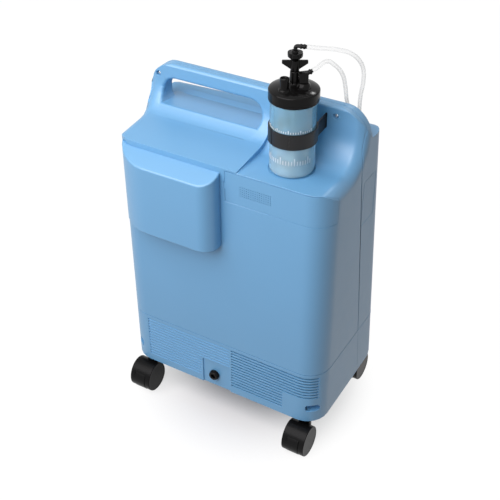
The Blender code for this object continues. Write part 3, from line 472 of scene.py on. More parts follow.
class Finish:
    """A material, or the world, and the nodes that make it."""

    def __init__(self, name, owner=None, shader="Principled BSDF"):
        self.material = owner or bpy.data.materials.new(name)
        self.material.use_nodes = True
        self.tree = self.material.node_tree
        self.shader = self.tree.nodes[shader]

    def add(self, kind, settings=None, inputs=None, output=0):
        node = self.tree.nodes.new(kind)
        for key, value in (settings or {}).items():
            setattr(node, key, value)
        self.feed(node, inputs or {})
        return Socket(self, node.outputs[output])

    def feed(self, node, inputs):
        for key, value in inputs.items():
            if isinstance(value, Socket):
                self.tree.links.new(value.link, node.inputs[key])
            else:
                node.inputs[key].default_value = value

    def place(self):
        return self.add("ShaderNodeTexCoord", output="Object")

    def seen(self):
        """1 for what is seen straight on, mirrored or through glass, and 0 for light on its way."""
        kinds = ("Camera", "Glossy", "Transmission")
        rays = [self.add("ShaderNodeLightPath", output=f"Is {kind} Ray") for kind in kinds]
        return rays[0].maths("MAXIMUM", rays[0], rays[1].maths("MAXIMUM", rays[1], rays[2]))

    def noise(self, scale, detail=2.0, stretch=None):
        place = self.place()
        if stretch:
            place = self.add("ShaderNodeMapping", None, {"Vector": place, "Scale": stretch})
        return self.add("ShaderNodeTexNoise", None, {"Vector": place, "Scale": scale, "Detail": detail})

    def blend(self, factor, first, second):
        inputs = {0: factor, 6: first, 7: second}
        return self.add("ShaderNodeMix", {"data_type": "RGBA"}, inputs, 2)

    def streaks(self):
        """Faint flow streaks from moulding, drawn out along the height."""
        return self.noise(1.0, 2.0, (90.0, 90.0, 14.0))

    def bump(self, height, distance, strength):
        inputs = {"Height": height, "Distance": distance, "Strength": strength}
        return self.add("ShaderNodeBump", None, inputs, "Normal")

    def done(self, **inputs):
        self.feed(self.shader, {key.replace("_", " "): value for key, value in inputs.items()})
        return self.material


def tint(colour, gain=1.0):
    return (*(min(1.0, channel * gain) for channel in colour), 1)


def moulded(name, colour, rough=0.36, spread=0.08, grain=900.0, depth=0.00003, shine=0.5, ior=1.5):
    """Injection-moulded plastic: a fine spark-eroded grain, with soft drifts of shade and gloss."""
    look = Finish(name)
    drift = look.noise(7.0, 3.0)
    shade = look.blend(drift, tint(colour, 0.955), tint(colour, 1.045))
    gloss = look.noise(60.0, 4.0) * spread + (rough - spread / 2)
    return look.done(
        Base_Color=shade,
        Roughness=gloss,
        Normal=look.bump(look.noise(grain, 1.0), depth, 0.5),
        Specular_IOR_Level=shine,
        IOR=ior,
    )


def metal(name, colour, rough, grain=(400.0, 400.0, 400.0)):
    """Bare metal with short tool marks."""
    look = Finish(name)
    marks = look.noise(1.0, 4.0, grain)
    return look.done(
        Base_Color=look.blend(marks, tint(colour, 0.86), tint(colour, 1.08)),
        Metallic=1.0,
        Roughness=marks * 0.14 + (rough - 0.07),
        Normal=look.bump(marks, 0.00002, 0.4),
    )


def clear(name, colour, rough, through, ior):
    """Clear or translucent plastic."""
    look = Finish(name)
    streaks = look.streaks()
    return look.done(
        Base_Color=look.blend(streaks, tint(colour, 0.97), tint(colour, 1.03)),
        Roughness=streaks * 0.08 + rough,
        Transmission_Weight=through,
        IOR=ior,
        Normal=look.bump(streaks, STREAK_DEPTH, 0.35),
    )


def tubing(name, colour):
    """Clear soft tubing: nearly unseen face on, with grey walls where the eye runs along them."""
    look = Finish(name)
    wall = look.add("ShaderNodeLayerWeight", None, {"Blend": 0.5}, "Facing")
    return look.done(
        Base_Color=look.blend(look.noise(40.0), tint(colour, 0.95), tint(colour, 1.05)),
        Roughness=0.10,
        Alpha=wall * wall * wall * 0.55 + 0.03,
    )


def frosted(name, colour, painted_shade, low, high):
    """Blow-moulded translucent plastic, with painted shade of the lid that darkens its colour from a low
    height to a high one.
    """
    look = Finish(name)
    height = look.add("ShaderNodeSeparateXYZ", None, {"Vector": look.place()}, "Z")
    span = {"Value": height, "From Min": low, "From Max": high}
    shade_rise = look.add("ShaderNodeMapRange", None, span)
    streaks = look.streaks()
    return look.done(
        Base_Color=look.blend(shade_rise, tint(colour), tint(painted_shade)),
        Roughness=streaks * 0.08 + 0.18,
        Transmission_Weight=0.66,
        IOR=1.30,
        Coat_Weight=0.6,
        Coat_Roughness=0.06,
        Normal=look.bump(streaks, STREAK_DEPTH, 0.35),
    )


LOOKS = {}


class CONCENTRATOR_OT_finishes(bpy.types.Operator):
    """Make the materials that the pieces share"""

    bl_idname = "concentrator.finishes"
    bl_label = "Finishes"

    def execute(self, context):
        case, bottle = context.scene.concentrator_case, context.scene.concentrator_bottle
        # The heights between which the jar's painted shade from the lid deepens
        shade = (JAR_LOW.z + 0.02, JAR_HIGH.z - 0.02)
        LOOKS.update(
            case=moulded("case_plastic", case.plastic, 0.40, shine=1.0),
            black=moulded("black_plastic", BLACK, 0.32, ior=1.20),
            gloss=moulded("fitting_plastic", bottle.lid, 0.14, 0.06, 500.0, 0.000015, ior=1.22),
            tread=moulded("wheel_tread", BLACK, 0.30, 0.08, 700.0, ior=1.22),
            ink=moulded("printing_ink", (0.02, 0.02, 0.022), 0.5),
            white=moulded("white_plastic", (0.74, 0.76, 0.79), 0.4),
            inner=moulded("inner_plastic", (0.26, 0.26, 0.25), 0.5),
            jar=frosted("jar_plastic", bottle.jar, bottle.jar_lid_shade, *shade),
            lens=clear("clear_cover", (0.93, 0.96, 0.97), 0.03, 0.95, 1.45),
            tubing=tubing("clear_tubing", (0.40, 0.42, 0.44)),
            steel=metal("plated_steel", (0.58, 0.60, 0.62), 0.26),
            aluminium=metal("cast_aluminium", (0.56, 0.57, 0.58), 0.42, (160.0, 160.0, 160.0)),
            strap=moulded("strap", bottle.strap, 0.42, 0.10, 1300.0, 0.00006, 0.3),
            foam=moulded("filter_foam", (0.03, 0.03, 0.032), 0.9, 0.05, 420.0, 0.0015),
            board=moulded("circuit_board", (0.02, 0.11, 0.04), 0.35, 0.1, 300.0),
            green=clear("indicator_lens", (0.10, 0.55, 0.18), 0.12, 0.4, 1.45),
        )
        return {"FINISHED"}


# Pieces


class CONCENTRATOR_OT_tubes(bpy.types.Operator):
    """Run the two clear tubes from the humidifier over the handle to the outlet ports"""

    bl_idname = "concentrator.tubes"
    bl_label = "Tubes"

    def execute(self, context):
        tube = context.scene.concentrator_tube
        routes = {
            "supply_tube": [
                (0.109131, -0.032827, 0.6803), (0.120607, -0.029318, 0.6803), (0.1484, -0.0180, 0.6790),
                (0.1600, -0.0085, 0.6735), (0.1672, 0.0040, 0.6610), (0.1692, 0.0165, 0.6430),
                (0.1665, 0.0265, 0.6205), (0.1600, 0.0370, 0.5950), (0.1545, 0.0490, 0.5720),
                (0.1505, 0.0600, 0.5540), (0.1505, 0.0600, 0.5425),
            ],
            "return_tube": [
                (0.118658, -0.032590, 0.649654), (0.122290, -0.030493, 0.652377), (0.1300, -0.0150, 0.6580),
                (0.1370, -0.0045, 0.6500), (0.1420, 0.0090, 0.6340), (0.1415, 0.0235, 0.6105),
                (0.1378, 0.0395, 0.5830), (0.1340, 0.0540, 0.5650), (0.1315, 0.0600, 0.5520),
                (0.1315, 0.0600, 0.5425),
            ],
        }
        for node, points in routes.items():
            route = [(x, y - CENTRE_Y, z) for x, y, z in points]
            cleared()
            bpy.ops.curve.primitive_bezier_curve_add(location=(0, 0, 0))
            cord = bpy.context.object
            cord.name = "clear_" + node
            line = cord.data.splines[0]
            line.bezier_points.add(len(route) - 2)
            for knot, place in zip(line.bezier_points, route):
                knot.co = place
                knot.handle_left_type = knot.handle_right_type = "AUTO"
            cord.data.bevel_depth = tube.diameter / 2
            cord.data.bevel_resolution = 12
            cord.data.resolution_u = 24
            wall = cord.modifiers.new("Wall", "SOLIDIFY")
            wall.thickness, wall.offset = tube.wall, -1
            cord.data.materials.append(LOOKS["tubing"])
            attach(cord, "case")
            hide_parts(node)
        return {"FINISHED"}


class CONCENTRATOR_OT_shells(bpy.types.Operator):
    """Ease and paint the shells, the base tray, the filter door and the header panel"""

    bl_idname = "concentrator.shells"
    bl_label = "Case shells"

    def execute(self, context):
        case = context.scene.concentrator_case
        for node, edge, form, keep in (
            ("rear_shell", case.shell_edge, self.leg, self.off_seam),
            ("front_shell", case.shell_edge, self.shelf, self.off_seam),
            ("base_tray", case.base_edge, self.pockets, self.anywhere),
            ("header_panel", case.panel_edge, self.dots, self.off_dots),
            ("filter_door", case.door_edge, None, self.anywhere),
        ):
            piece = copied(node)
            if form:
                reshaped(piece, form)
            if node == "base_tray":
                combined(plain(piece), [self.grooves()], "DIFFERENCE")
            if node == "rear_shell":
                softened(piece, case.hole_edge, self.on_rim, angle=3, segments=4)
            softened(piece, edge, keep, segments=3 if node == "filter_door" else 2)
            if node == "rear_shell":
                merged([piece, self.lip()])
            reshaped(piece, self.inside)
            body = "filter_door" if node == "filter_door" else "case"
            dressed(piece, node + "_skin", body, "case", "case_plastic", node)
        return {"FINISHED"}

    def lip(self):
        """The raised lower lip of the hand hole, which carries the fillet on and rolls over inside."""
        (front, back), tilt = LIP_Y, math.degrees(math.atan(DECK_SLOPE))
        step = (90 - tilt) / FILLET_STEPS
        radius, end = FILLET + LIP_PROUD, tilt + LIP_FACETS * step - 90
        profile = bow((WALL_Y - FILLET, FILLET_Z), radius, tilt - 90, end, LIP_FACETS)
        slope = tilt + (LIP_FACETS + 0.5) * step
        inward = Vector((math.sin(math.radians(slope)), -math.cos(math.radians(slope))))
        roll = Vector(profile[-1]) + inward * LIP_ROUND
        profile += bow(roll, LIP_ROUND, 90 + slope, 90, 8)[1:]
        profile += [(back, roll.y + LIP_ROUND - LIP_FALL), (back, LIP_Z), (front, LIP_Z)]
        width = HOLE_X[1] - HOLE_X[0] + 2 * LIP_MARGIN
        return plate("lip", profile, width, at((HOLE_X[0] + HOLE_X[1]) / 2, 0, 0) @ spun(90, "Z"))

    def inside(self, place):
        """Holds a rounded edge within the width of the case."""
        place.x = min(CAD_BOX[1].x, max(CAD_BOX[0].x, place.x))
        return place

    def leg(self, place):
        """Fills out the wide outer rounding of the handle's left leg, less and less down its fillet."""
        across, rise = place.x - CAD_BOX[0].x, place.z - FILLET_Z
        if across >= LEG_ROUND or place.z < DECK_Z or place.y < WALL_Y - FILLET:
            return place
        out, depth, share = Vector((0, 1, 0)), place.y - WALL_Y, 1.0
        if rise < 0:
            arm = Vector((0, place.y - WALL_Y + FILLET, rise))
            out, depth = arm.normalized(), arm.length - FILLET
            share = eased_in(math.atan2(arm.y, -arm.z), *LEG_FADE)
        was, now = self.rounding(across, LEG_ROUND), self.rounding(across, LEG_EDGE)
        if not -0.0005 < depth < LEG_ROUND:
            return place
        if depth <= was + LEG_SKIN:
            goal = now
        else:
            goal = now + (depth - was) * (LEG_ROUND - now) / (LEG_ROUND - was)
        return place + out * (goal - depth) * share

    def rounding(self, across, radius):
        """How deep a rounded edge lies at a distance in from the side."""
        if across >= radius:
            return 0.0
        return radius - math.sqrt(radius**2 - (radius - across) ** 2)

    def shelf(self, place):
        """Carries the floor of the hand hole up to a raised shelf behind it."""
        place = self.leg(place)
        start, back = SHELF_Y
        if place.x < PLATFORM_X and place.z > SHELF_LOW:
            if start < place.y < back + TOUCH and place.z < SHELF_FOOT:
                share = (SHELF_FOOT - HOLE_Z) * (place.y - start) / (back - start)
                place.z = max(place.z, HOLE_Z + share)
            if place.y > start and place.z < SHELF_TOP:
                lift = eased_in(place.x, *SHELF_FADE) * min(1.0, (place.y - start) / SHELF_RUN)
                place.z += SHELF_LIFT * lift * eased_in(place.z, SHELF_LOW, 0.5120)
        return place

    def dots(self, place):
        """Opens out the holes of the sounder's grille."""
        centre = place.copy()
        for axis in (0, 2):
            step = round((place[axis] - DOT_FIRST[axis]) / DOT_PITCH[axis])
            if not 0 <= step < DOT_COUNT[axis]:
                return place
            centre[axis] = DOT_FIRST[axis] + DOT_PITCH[axis] * step
        off = place - centre
        return centre + off * DOT_GROWTH if off.length < DOT_REACH else place

    def pockets(self, place):
        """Makes the screw pockets taller and sets them lower, and levels the CAD's finer ribs."""
        across, rise = abs(place.x) - POCKET_X, place.z - POCKET_Z
        if abs(across) < POCKET_REACH[0] and abs(rise) < POCKET_REACH[1] and place.y < 0:
            place.z = POCKET_Z - POCKET_DROP + rise * POCKET_STRETCH
        low, high = RIB_X
        if low < place.x < high and REAR_Y < place.y < REAR_Y + RIB_DEPTH and place.z > RIB_Z:
            place.y = REAR_Y
        return place

    def grooves(self):
        """Blind grooves that carry the rows of louvres on across the base, deeper at the left end."""
        cuts, left = [], GROOVE_X[0]
        for k in range(ROWS):
            z = ROW_Z + ROW_PITCH * k + ROW_TALL / 2
            right = GLAND_SIDE if z < GLAND_CLEAR else GROOVE_X[1]
            for end, depth in ((right, GROOVE_DEPTH), (NOTCH_X, NOTCH_DEPTH)):
                span = (end - left, 2 * depth, ROW_TALL)
                cuts.append(brick("groove", span, at((left + end) / 2, REAR_Y, z)))
        return combined(cuts[0], cuts[1:], "UNION")

    def on_rim(self, edge):
        """True on the rear rim of the hand hole."""
        first, second = (vertex.co for vertex in edge.verts)
        along = abs(first.x - second.x) + abs(first.z - second.z)
        outer = max(first.y, second.y) < WALL_Y + 0.0002
        return along > 0.0002 and outer and max(self.rim_gap(first), self.rim_gap(second)) < TOUCH

    def rim_gap(self, place):
        """How far a place lies from the outline of the hand hole, seen from the rear."""
        across = abs(place.x - (HOLE_X[0] + HOLE_X[1]) / 2) - (HOLE_X[1] - HOLE_X[0]) / 2 + HOLE_ROUND
        rise = abs(place.z - (HOLE_Z + HOLE_TOP) / 2) - (HOLE_TOP - HOLE_Z) / 2 + HOLE_ROUND
        corner = math.hypot(max(0.0, across), max(0.0, rise))
        return abs(corner + min(0.0, max(across, rise)) - HOLE_ROUND)

    def off_seam(self, edge):
        """True away from the seam round the hand hole and the ramp behind it, which stay tight."""
        low = HOLE_Z - 0.0025
        for vertex in edge.verts:
            x, y, z = vertex.co
            seam = SEAM_Y + SEAM_LEAN * min(SEAM_RISE, z - SEAM_Z)
            near = HOLE_X[0] - 0.002 < x < HOLE_X[1] + 0.002 and low < z < HOLE_TOP + 0.0025
            deep = SHELF_Y[0] - 0.0007 < y < SHELF_Y[1] + 0.0012
            ramp = x < PLATFORM_X and low < z < SHELF_FOOT + 0.006 and deep
            if not (near and abs(y - seam) < 2 * TOUCH or ramp):
                return True
        return False

    def anywhere(self, edge):
        return True

    def off_dots(self, edge):
        """True away from the holes of the grille, whose edges are short."""
        return edge.calc_length() > 0.003


class CONCENTRATOR_OT_casters(bpy.types.Operator):
    """Turn the wheels and shape the hooded forks that they roll in"""

    bl_idname = "concentrator.casters"
    bl_label = "Casters"

    def execute(self, context):
        caster = context.scene.concentrator_caster
        for corner in CORNERS:
            self.wheel(caster, corner)
            self.fork(caster, corner)
        return {"FINISHED"}

    def wheel(self, caster, corner):
        node = corner + "_wheel"
        low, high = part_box(node)
        radius, half, edge, nick = (high.z - low.z) / 2, (high.x - low.x) / 2, caster.tread_edge, 0.0001
        tread = [(radius - nick, -half), (radius, nick - half)]
        tread += bow((radius - edge, half - edge), edge, 0, 90, 3)
        bore = [(WHEEL_BORE, half), (WHEEL_BORE, -half)]
        place = Matrix.Translation(middle(node)) @ spun(90, "Y")
        wheel = turned(node, [bore[1], *tread, *bore], place, 72)
        dressed(wheel, corner + "_roller", node, "tread", "tread", node)

    def fork(self, caster, corner):
        """A fork of two round cheeks under a neck, slotted for the wheel and dished on its sides."""
        node = corner + "_fork"
        low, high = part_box(node)
        wheel_low, wheel_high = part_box(corner + "_wheel")
        hub, stem = middle(corner + "_wheel"), middle(corner + "_stem")
        wide, centre = high.x - low.x, (low.x + high.x) / 2
        lying = at(centre, hub.y, hub.z) @ spun(90, "Y")
        fork = plain(turned(node, rod(hub.z - low.z, wide / 2), lying, 72), 1)
        editing(fork)
        for outer in (low.x, high.x):
            bpy.ops.mesh.select_mode(type="EDGE")
            choose(fork, lambda edge: all(abs(v.co.x - outer) < 1e-6 for v in edge.verts), "edges")
            bpy.ops.mesh.bevel(offset=caster.fork_edge, segments=3, affect="EDGES")
            bpy.ops.mesh.select_mode(type="FACE")
            choose(fork, lambda face: all(abs(v.co.x - outer) < 1e-6 for v in face.verts))
            bpy.ops.mesh.inset(thickness=caster.rim, depth=-caster.dish)

        def hooded(place):
            place.z = max(place.z, hub.z + (place.z - hub.z) * caster.hood)
            return place

        reshaped(fork, hooded)
        left, right = wheel_low.x - 0.0002, wheel_high.x + 0.0008
        room = rod(hub.z + caster.clearance, (right - left) / 2)
        slot = turned("slot", room, at((left + right) / 2, hub.y, hub.z) @ spun(90, "Y"), 72)
        socket = turned("socket", rod(STEM_BORE, caster.crown), at(stem.x, stem.y, high.z), 24)
        half = (high.z - hub.z) / 2
        neck = turned("neck", rod(caster.neck, half), at(stem.x, stem.y, high.z - half), 40)
        combined(fork, [neck], "UNION")
        combined(fork, [slot, socket], "DIFFERENCE")
        combined(fork, [turned("axle", rod(AXLE_RADIUS, AXLE_HALF), lying, 24)], "UNION")
        dressed(fork, corner + "_hood", corner + "_caster", "black", "caster_plastic", node)


class CONCENTRATOR_OT_humidifier(bpy.types.Operator):
    """Turn the humidifier's jar, lid, posts and nuts"""

    bl_idname = "concentrator.humidifier"
    bl_label = "Humidifier"

    def execute(self, context):
        axis = Matrix.Translation(BOTTLE)
        facing = axis @ spun(FITTINGS_TURN, "Z")
        self.jar(axis)
        self.scale(axis)
        self.lid(axis, facing)
        self.nuts(axis, facing)
        for node in ("outlet_spout", "inlet_elbow"):
            self.fitting(eased(copied(node), 0.0003), node + "_fitting", node)
        bore, stem, stone = 0.0012, 0.0024, 0.0060
        profile = [(bore, NECK_TOP), (stem, NECK_TOP), (stem, 0.5180), (0.0056, 0.5174), (stone, 0.5168)]
        profile += [(stone, 0.5040), (0.0056, 0.5033), (bore, 0.5030), (bore, NECK_TOP)]
        tube = turned("dip_tube", profile, axis, 32)
        dressed(tube, "dip_tube_stem", "case", "white", "white_plastic", "dip_tube")
        return {"FINISHED"}

    def fitting(self, piece, name, node, body="case", angle=35):
        dressed(piece, name, body, "gloss", "fitting_plastic", node, angle=angle)

    def jar(self, axis):
        """Blow-moulded jar with a rounded foot, a raised floor and a bead under the lid."""
        r, low, high, wall, foot = JAR_RADIUS, JAR_LOW.z, JAR_HIGH.z, 0.0018, 0.0044
        bead = r + 0.0003
        outside = [(r, high), (r, high - 0.0030), (bead, high - 0.0036), (bead, high - 0.0050)]
        outside += [(r, high - 0.0056), (r, low + 0.0048), *bow((r - foot, low + foot), foot, 0, -90)]
        floor = [(r - 0.0060, low), (r - 0.0075, low + 0.0010), (0, low + 0.0014), (0, low + 0.0032)]
        corner = bow((r - wall - foot, low + 0.0074), foot, -90, 0)
        inside = [(r - 0.0090, low + 0.0030), *corner, (r - wall, high)]
        jar = turned("humidifier_jar", [*outside, *floor, *inside, (r, high)], axis, 96)
        dressed(jar, "humidifier_bottle", "case", "jar", "clear_plastic", "humidifier_jar", weighted=False)

    def scale(self, axis):
        """Level marks printed round the jar in two plain rows of strokes."""
        marks, first, span = [], 196, 150
        for low, tall, count in ((0.5185, 0.0110, 22), (0.5672, 0.0050, 26)):
            for k in range(count):
                height = tall * (1.0 if k % 5 == 0 else 0.6)
                place = axis @ spun(first + span * k / (count - 1), "Z")
                place = place @ at(JAR_RADIUS + 0.00004, 0, low + height / 2)
                marks.append(brick("mark", (0.00012, 0.0011, height), place))
        dressed(merged(marks), "jar_level_marks", "case", "white", "white_plastic")

    def lid(self, axis, facing):
        r, low, inner, ceiling = 0.0353, 0.6050, 0.0330, 0.0300
        neck = [(NECK_BORE, NECK_TOP), (0.0058, NECK_TOP), (0.0064, 0.6449), (0.0066, 0.6305)]
        dome = [(0.0070, 0.6288), (0.0084, 0.6277), (0.0110, 0.6271), (0.0160, 0.6263), (0.0215, 0.6252)]
        dome += [(0.0270, 0.6238), (0.0312, 0.6223), *bow((r - 0.0022, 0.6189), 0.0022, 70, 0)]
        skirt = [(r, 0.6100), (r - 0.0003, 0.6098), (r - 0.0003, 0.6090), (r, 0.6088), (r, low + 0.0006)]
        under = [(r - 0.0006, low), (inner, low), (inner, 0.6072), (ceiling, 0.6076), (ceiling, 0.6200)]
        under += [(NECK_BORE, 0.6232), neck[0]]
        lid = turned("humidifier_lid", [*neck, *dome, *skirt, *under], axis, 96)
        boss = [(0, 0.6325), (0.0066, 0.6325), (0.0073, 0.6320), (0.0090, 0.6300), (0.0098, 0.6282)]
        boss = turned("boss", [*boss, (0.0098, 0.6230), (0, 0.6230)], facing @ at(0.0118, -0.0080, 0))
        post = facing @ at(-0.0140, -0.0160, 0)
        pad = [(0, 0.6272), (0.0070, 0.6272), (0.0078, 0.6264), (0.0084, 0.6240), (0.0084, 0.6225)]
        pad = turned("pad", [*pad, (0, 0.6225)], post, 40)
        combined(lid, [boss, pad], "UNION")
        self.fitting(lid, "humidifier_cap", "humidifier_lid", angle=40)
        crown = [(0, 0.6404), (0.0036, 0.6404), (0.0042, 0.6408), (0.0046, 0.6422), (0.0049, 0.6425)]
        crown += [(0.0060, 0.6425), (0.0064, 0.6420), (0.0064, 0.6386), (0.0061, 0.6381)]
        foot = [(0.0061, 0.6282), (0.0064, 0.6275), (0, 0.6275)]
        relief = turned("relief_valve", [*crown, *foot], post)
        self.fitting(relief, "relief_post", "relief_valve")

    def nuts(self, axis, facing):
        bore = 0.0042
        hub = [(bore, 0.6608), (0.0052, 0.6608), (0.0057, 0.6603), (0.0060, 0.6470), (0.0057, 0.6465)]
        wing_nut = turned("wing_nut", [*hub, (bore, 0.6465), hub[0]], axis)
        wing = [(0.0048, 0.6474), (0.0164, 0.6555), *bow((0.0164, 0.6566), 0.0010, -50, 0, 3)]
        wing += [*bow((0.0162, 0.6594), 0.0012, 0, 90, 3), (0.0048, 0.6606)]
        for side in (0, 180):
            leaf = eased(plate("wing", wing, 0.0034, facing @ spun(side, "Z")), 0.0005, 40)
            combined(wing_nut, [leaf], "UNION")
        self.fitting(wing_nut, "wing_nut_grip", "wing_nut", "wing_nut")

        stem = [(0.0034, 0.6745), (0.0043, 0.6745), (0.0046, 0.6740), (0.0048, 0.6724), (0.0054, 0.6720)]
        grip = [(0.0096, 0.6720), *bow((0.0096, 0.6712), 0.0008, 60, 0, 3), (0.0104, 0.6668)]
        tail = [(0.0096, 0.6656), (0.0056, 0.6618), (0.0050, 0.6612), (0.0037, 0.6612), (0.0037, 0.6475)]
        tail += [(0.0027, 0.6475), (0.0027, 0.6700), (0.0034, 0.6706), stem[0]]
        collar = turned("collar_nut", [*stem, *grip, *tail], axis, 60)
        flutes = []
        for k in range(6):
            place = facing @ spun(60 * k, "Z") @ at(0.0126, 0, 0.6690)
            flutes.append(turned("flute", rod(0.0036, 0.012), place, 24))
        combined(collar, flutes, "DIFFERENCE")
        self.fitting(collar, "collar_nut_grip", "collar_nut", "collar_nut")


class CONCENTRATOR_OT_strap(bpy.types.Operator):
    """Wrap the strap round the jar, with its end lapped over it"""

    bl_idname = "concentrator.strap"
    bl_label = "Bottle strap"

    def execute(self, context):
        low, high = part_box("bottle_strap")
        axis, r, tail = Matrix.Translation(BOTTLE), JAR_RADIUS + STRAP_GAP, high.y - STRAP_TAIL
        left, right = STRAP_X
        around = self.round_jar(r + STRAP_THICK / 2, STRAP_TURNS, 72)
        path = [(left, high.y), (left, tail), *around, (right, tail), (right, high.y)]
        strap = self.ribbon("strap", path, low.z, high.z, STRAP_THICK)
        place = axis @ spun(FOLD_TURN, "Z") @ at(r + STRAP_THICK, 0, (low.z + high.z) / 2) @ spun(4, "X")
        combined(strap, [brick("fold", (0.0018, 0.0014, 0.04), place)], "DIFFERENCE")
        r, inset = r + STRAP_THICK + 0.0002, 0.0006
        lap = self.round_jar(r, FLAP_TURNS, 24)
        flap = self.ribbon("flap", lap, low.z + inset, high.z - inset, 0.0016)
        place = axis @ spun(FLAP_TURNS[0], "Z") @ at(r, 0, high.z) @ spun(45, "X")
        combined(flap, [brick("chamfer", (0.01, 0.006, 0.006), place)], "DIFFERENCE")
        piece = merged([eased(strap, 0.0003, 50), eased(flap, 0.0003, 50)])
        dressed(piece, "strap_round_bottle", "case", "strap", "webbing", "bottle_strap")
        return {"FINISHED"}

    def round_jar(self, radius, turns, steps):
        """Plan points round the jar, between two turns in degrees."""
        return [(BOTTLE.x + u, BOTTLE.y + v) for u, v in bow((0, 0), radius, *turns, steps)]

    def ribbon(self, name, path, low, high, thick):
        """An upright band along a plan path."""
        band = drawn(name, [(x, y, low) for x, y in path])
        everything()
        pulled((0, 0, high - low))
        return shaped(band, "SOLIDIFY", thickness=thick, offset=0, use_even_offset=True)


class CONCENTRATOR_OT_fasteners(bpy.types.Operator):
    """Turn the cross-head screws and the cord gland"""

    bl_idname = "concentrator.fasteners"
    bl_label = "Fasteners"

    def execute(self, context):
        back = spun(90, "X")
        for node in ("handle_screw_left", "handle_screw_right", "base_screw_left", "base_screw_right"):
            low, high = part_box(node)
            r, tall = (high.z - low.z) / 2, high.y - low.y
            seat = at(middle(node).x, high.y, middle(node).z) @ back
            dome = ((0, 1), (0.45, 0.96), (0.75, 0.78), (0.93, 0.45), (1, 0.15), (1, 0), (0, 0))
            screw = turned(node, [(r * out, tall * up) for out, up in dome], seat, 32)
            long, wide = r * 1.1, r * 0.26
            bars = ((long, wide, tall), (wide, long, tall))
            arms = [brick("arm", bar, seat @ at(0, 0, tall)) for bar in bars]
            combined(screw, arms, "DIFFERENCE")
            dressed(screw, node + "_head", "case", "steel", "steel", node)
        low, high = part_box("cord_gland")
        centre, half = middle("cord_gland"), 0.0075
        bore, neck, flange = 0.0042, 0.0071, 0.0090
        nose = [(bore, 0.0069), (0.0047, half), (0.0064, half), *bow((0.0064, 0.0058), 0.0017, 80, 10, 4)]
        nose += [(0.0086, 0.0046), (flange, 0.0040), (flange, 0.0003), (neck, 0.0003)]
        place = at(centre.x, high.y - half, centre.z) @ back
        gland = turned("cord_gland", [*nose, (neck, -half), (bore, -half), nose[0]], place)
        dressed(gland, "cord_gland_ring", "case", "gloss", "black_plastic", "cord_gland")
        return {"FINISHED"}


class CONCENTRATOR_OT_controls(bpy.types.Operator):
    """Print the flow scale, the switch marks and the counter on the control front"""

    bl_idname = "concentrator.controls"
    bl_label = "Controls"

    def execute(self, context):
        scale, counter = [], []
        for level in range(SCALE_TICKS):
            height, whole = SCALE_FOOT + SCALE_PITCH * level, level % 5 == 0
            wide = 0.0052 if whole else 0.0030
            tick = on_panel(0.0035 + wide / 2, height, SCALE_OUT)
            scale.append(brick("tick", (wide, 0.00035, 0.0001), tick))
            if level and whole:
                place = on_panel(0.0120, height, SCALE_OUT + 0.00001)
                scale.append(self.figure(str(level // 5), 0.0050, place))
        for k, digit in enumerate("00147"):
            place = on_panel(DIGIT_FIRST + DIGIT_PITCH * k, -0.0120, DIGIT_OUT)
            counter.append(self.figure(digit, 0.0066, place))
        self.switch_marks()
        pointer = brick("pointer", (0.0012, 0.0060, 0.0001), on_panel(0, -0.0505, POINTER_OUT))
        self.printed(pointer, "knob_pointer", "flow_knob", "white")
        self.printed(merged(scale), "flow_scale_print", "case", "ink", "black_plastic")
        self.printed(merged(counter), "counter_digits", "case", "white")
        return {"FINISHED"}

    def printed(self, piece, name, body, look, slot="white_plastic"):
        """Finishes thin print, which needs no weighted normals."""
        dressed(piece, name, body, look, slot, weighted=False)

    def switch_marks(self):
        """The stroke and the ring on the two ends of the rocker."""
        crown = on_panel(0.048, 0.035, -0.0015) @ spun(-8, "X")
        rise, reach, out, thick = math.degrees(math.atan(0.2)), 0.0075, 0.00513, 0.00005
        on = crown @ at(0, reach, out) @ spun(rise, "X")
        off = crown @ at(0, -reach, out) @ spun(-rise, "X")
        inner, outer = 0.0016, 0.0022
        ring = [(inner, -thick), (outer, -thick), (outer, thick), (inner, thick), (inner, -thick)]
        marks = [brick("on", (0.0007, 0.0044, 2 * thick), on), turned("off", ring, off, 32)]
        self.printed(merged(marks), "rocker_marks", "power_rocker", "white")

    def figure(self, text, height, place):
        """A numeral made a thin mesh, centred on its place."""
        cleared()
        bpy.ops.object.text_add(location=(0, 0, 0))
        obj = bpy.context.object
        obj.data.body, obj.data.size, obj.data.extrude = text, height, 0.00005
        obj.data.align_x, obj.data.align_y = "CENTER", "CENTER"
        bpy.ops.object.convert(target="MESH")
        return set_down(obj, place)


class CONCENTRATOR_OT_carried(bpy.types.Operator):
    """Smooth and paint the plain pieces that keep their CAD shape"""

    bl_idname = "concentrator.carried"
    bl_label = "Carried pieces"

    def execute(self, context):
        record = frame["record"]
        owner = {n: body for body, members in record["behaviour"]["bodies"].items() for n in members}
        slots = {part["node"]: part["material_slot"] for part in record["subparts"]}
        looks = {
            "steel": "steel",
            "black_plastic": "black",
            "aluminium": "aluminium",
            "clear_plastic": "lens",
            "white_plastic": "white",
            "inner_plastic": "inner",
            "foam": "foam",
            "board": "board",
            "lens": "green",
        }
        for node, obj in sorted(frame["nodes"].items()):
            if obj.hide_render:
                continue
            piece = eased(copied(node), 0.0004)
            dressed(piece, node + "_piece", owner[node], looks[slots[node]], slots[node], node)
        return {"FINISHED"}


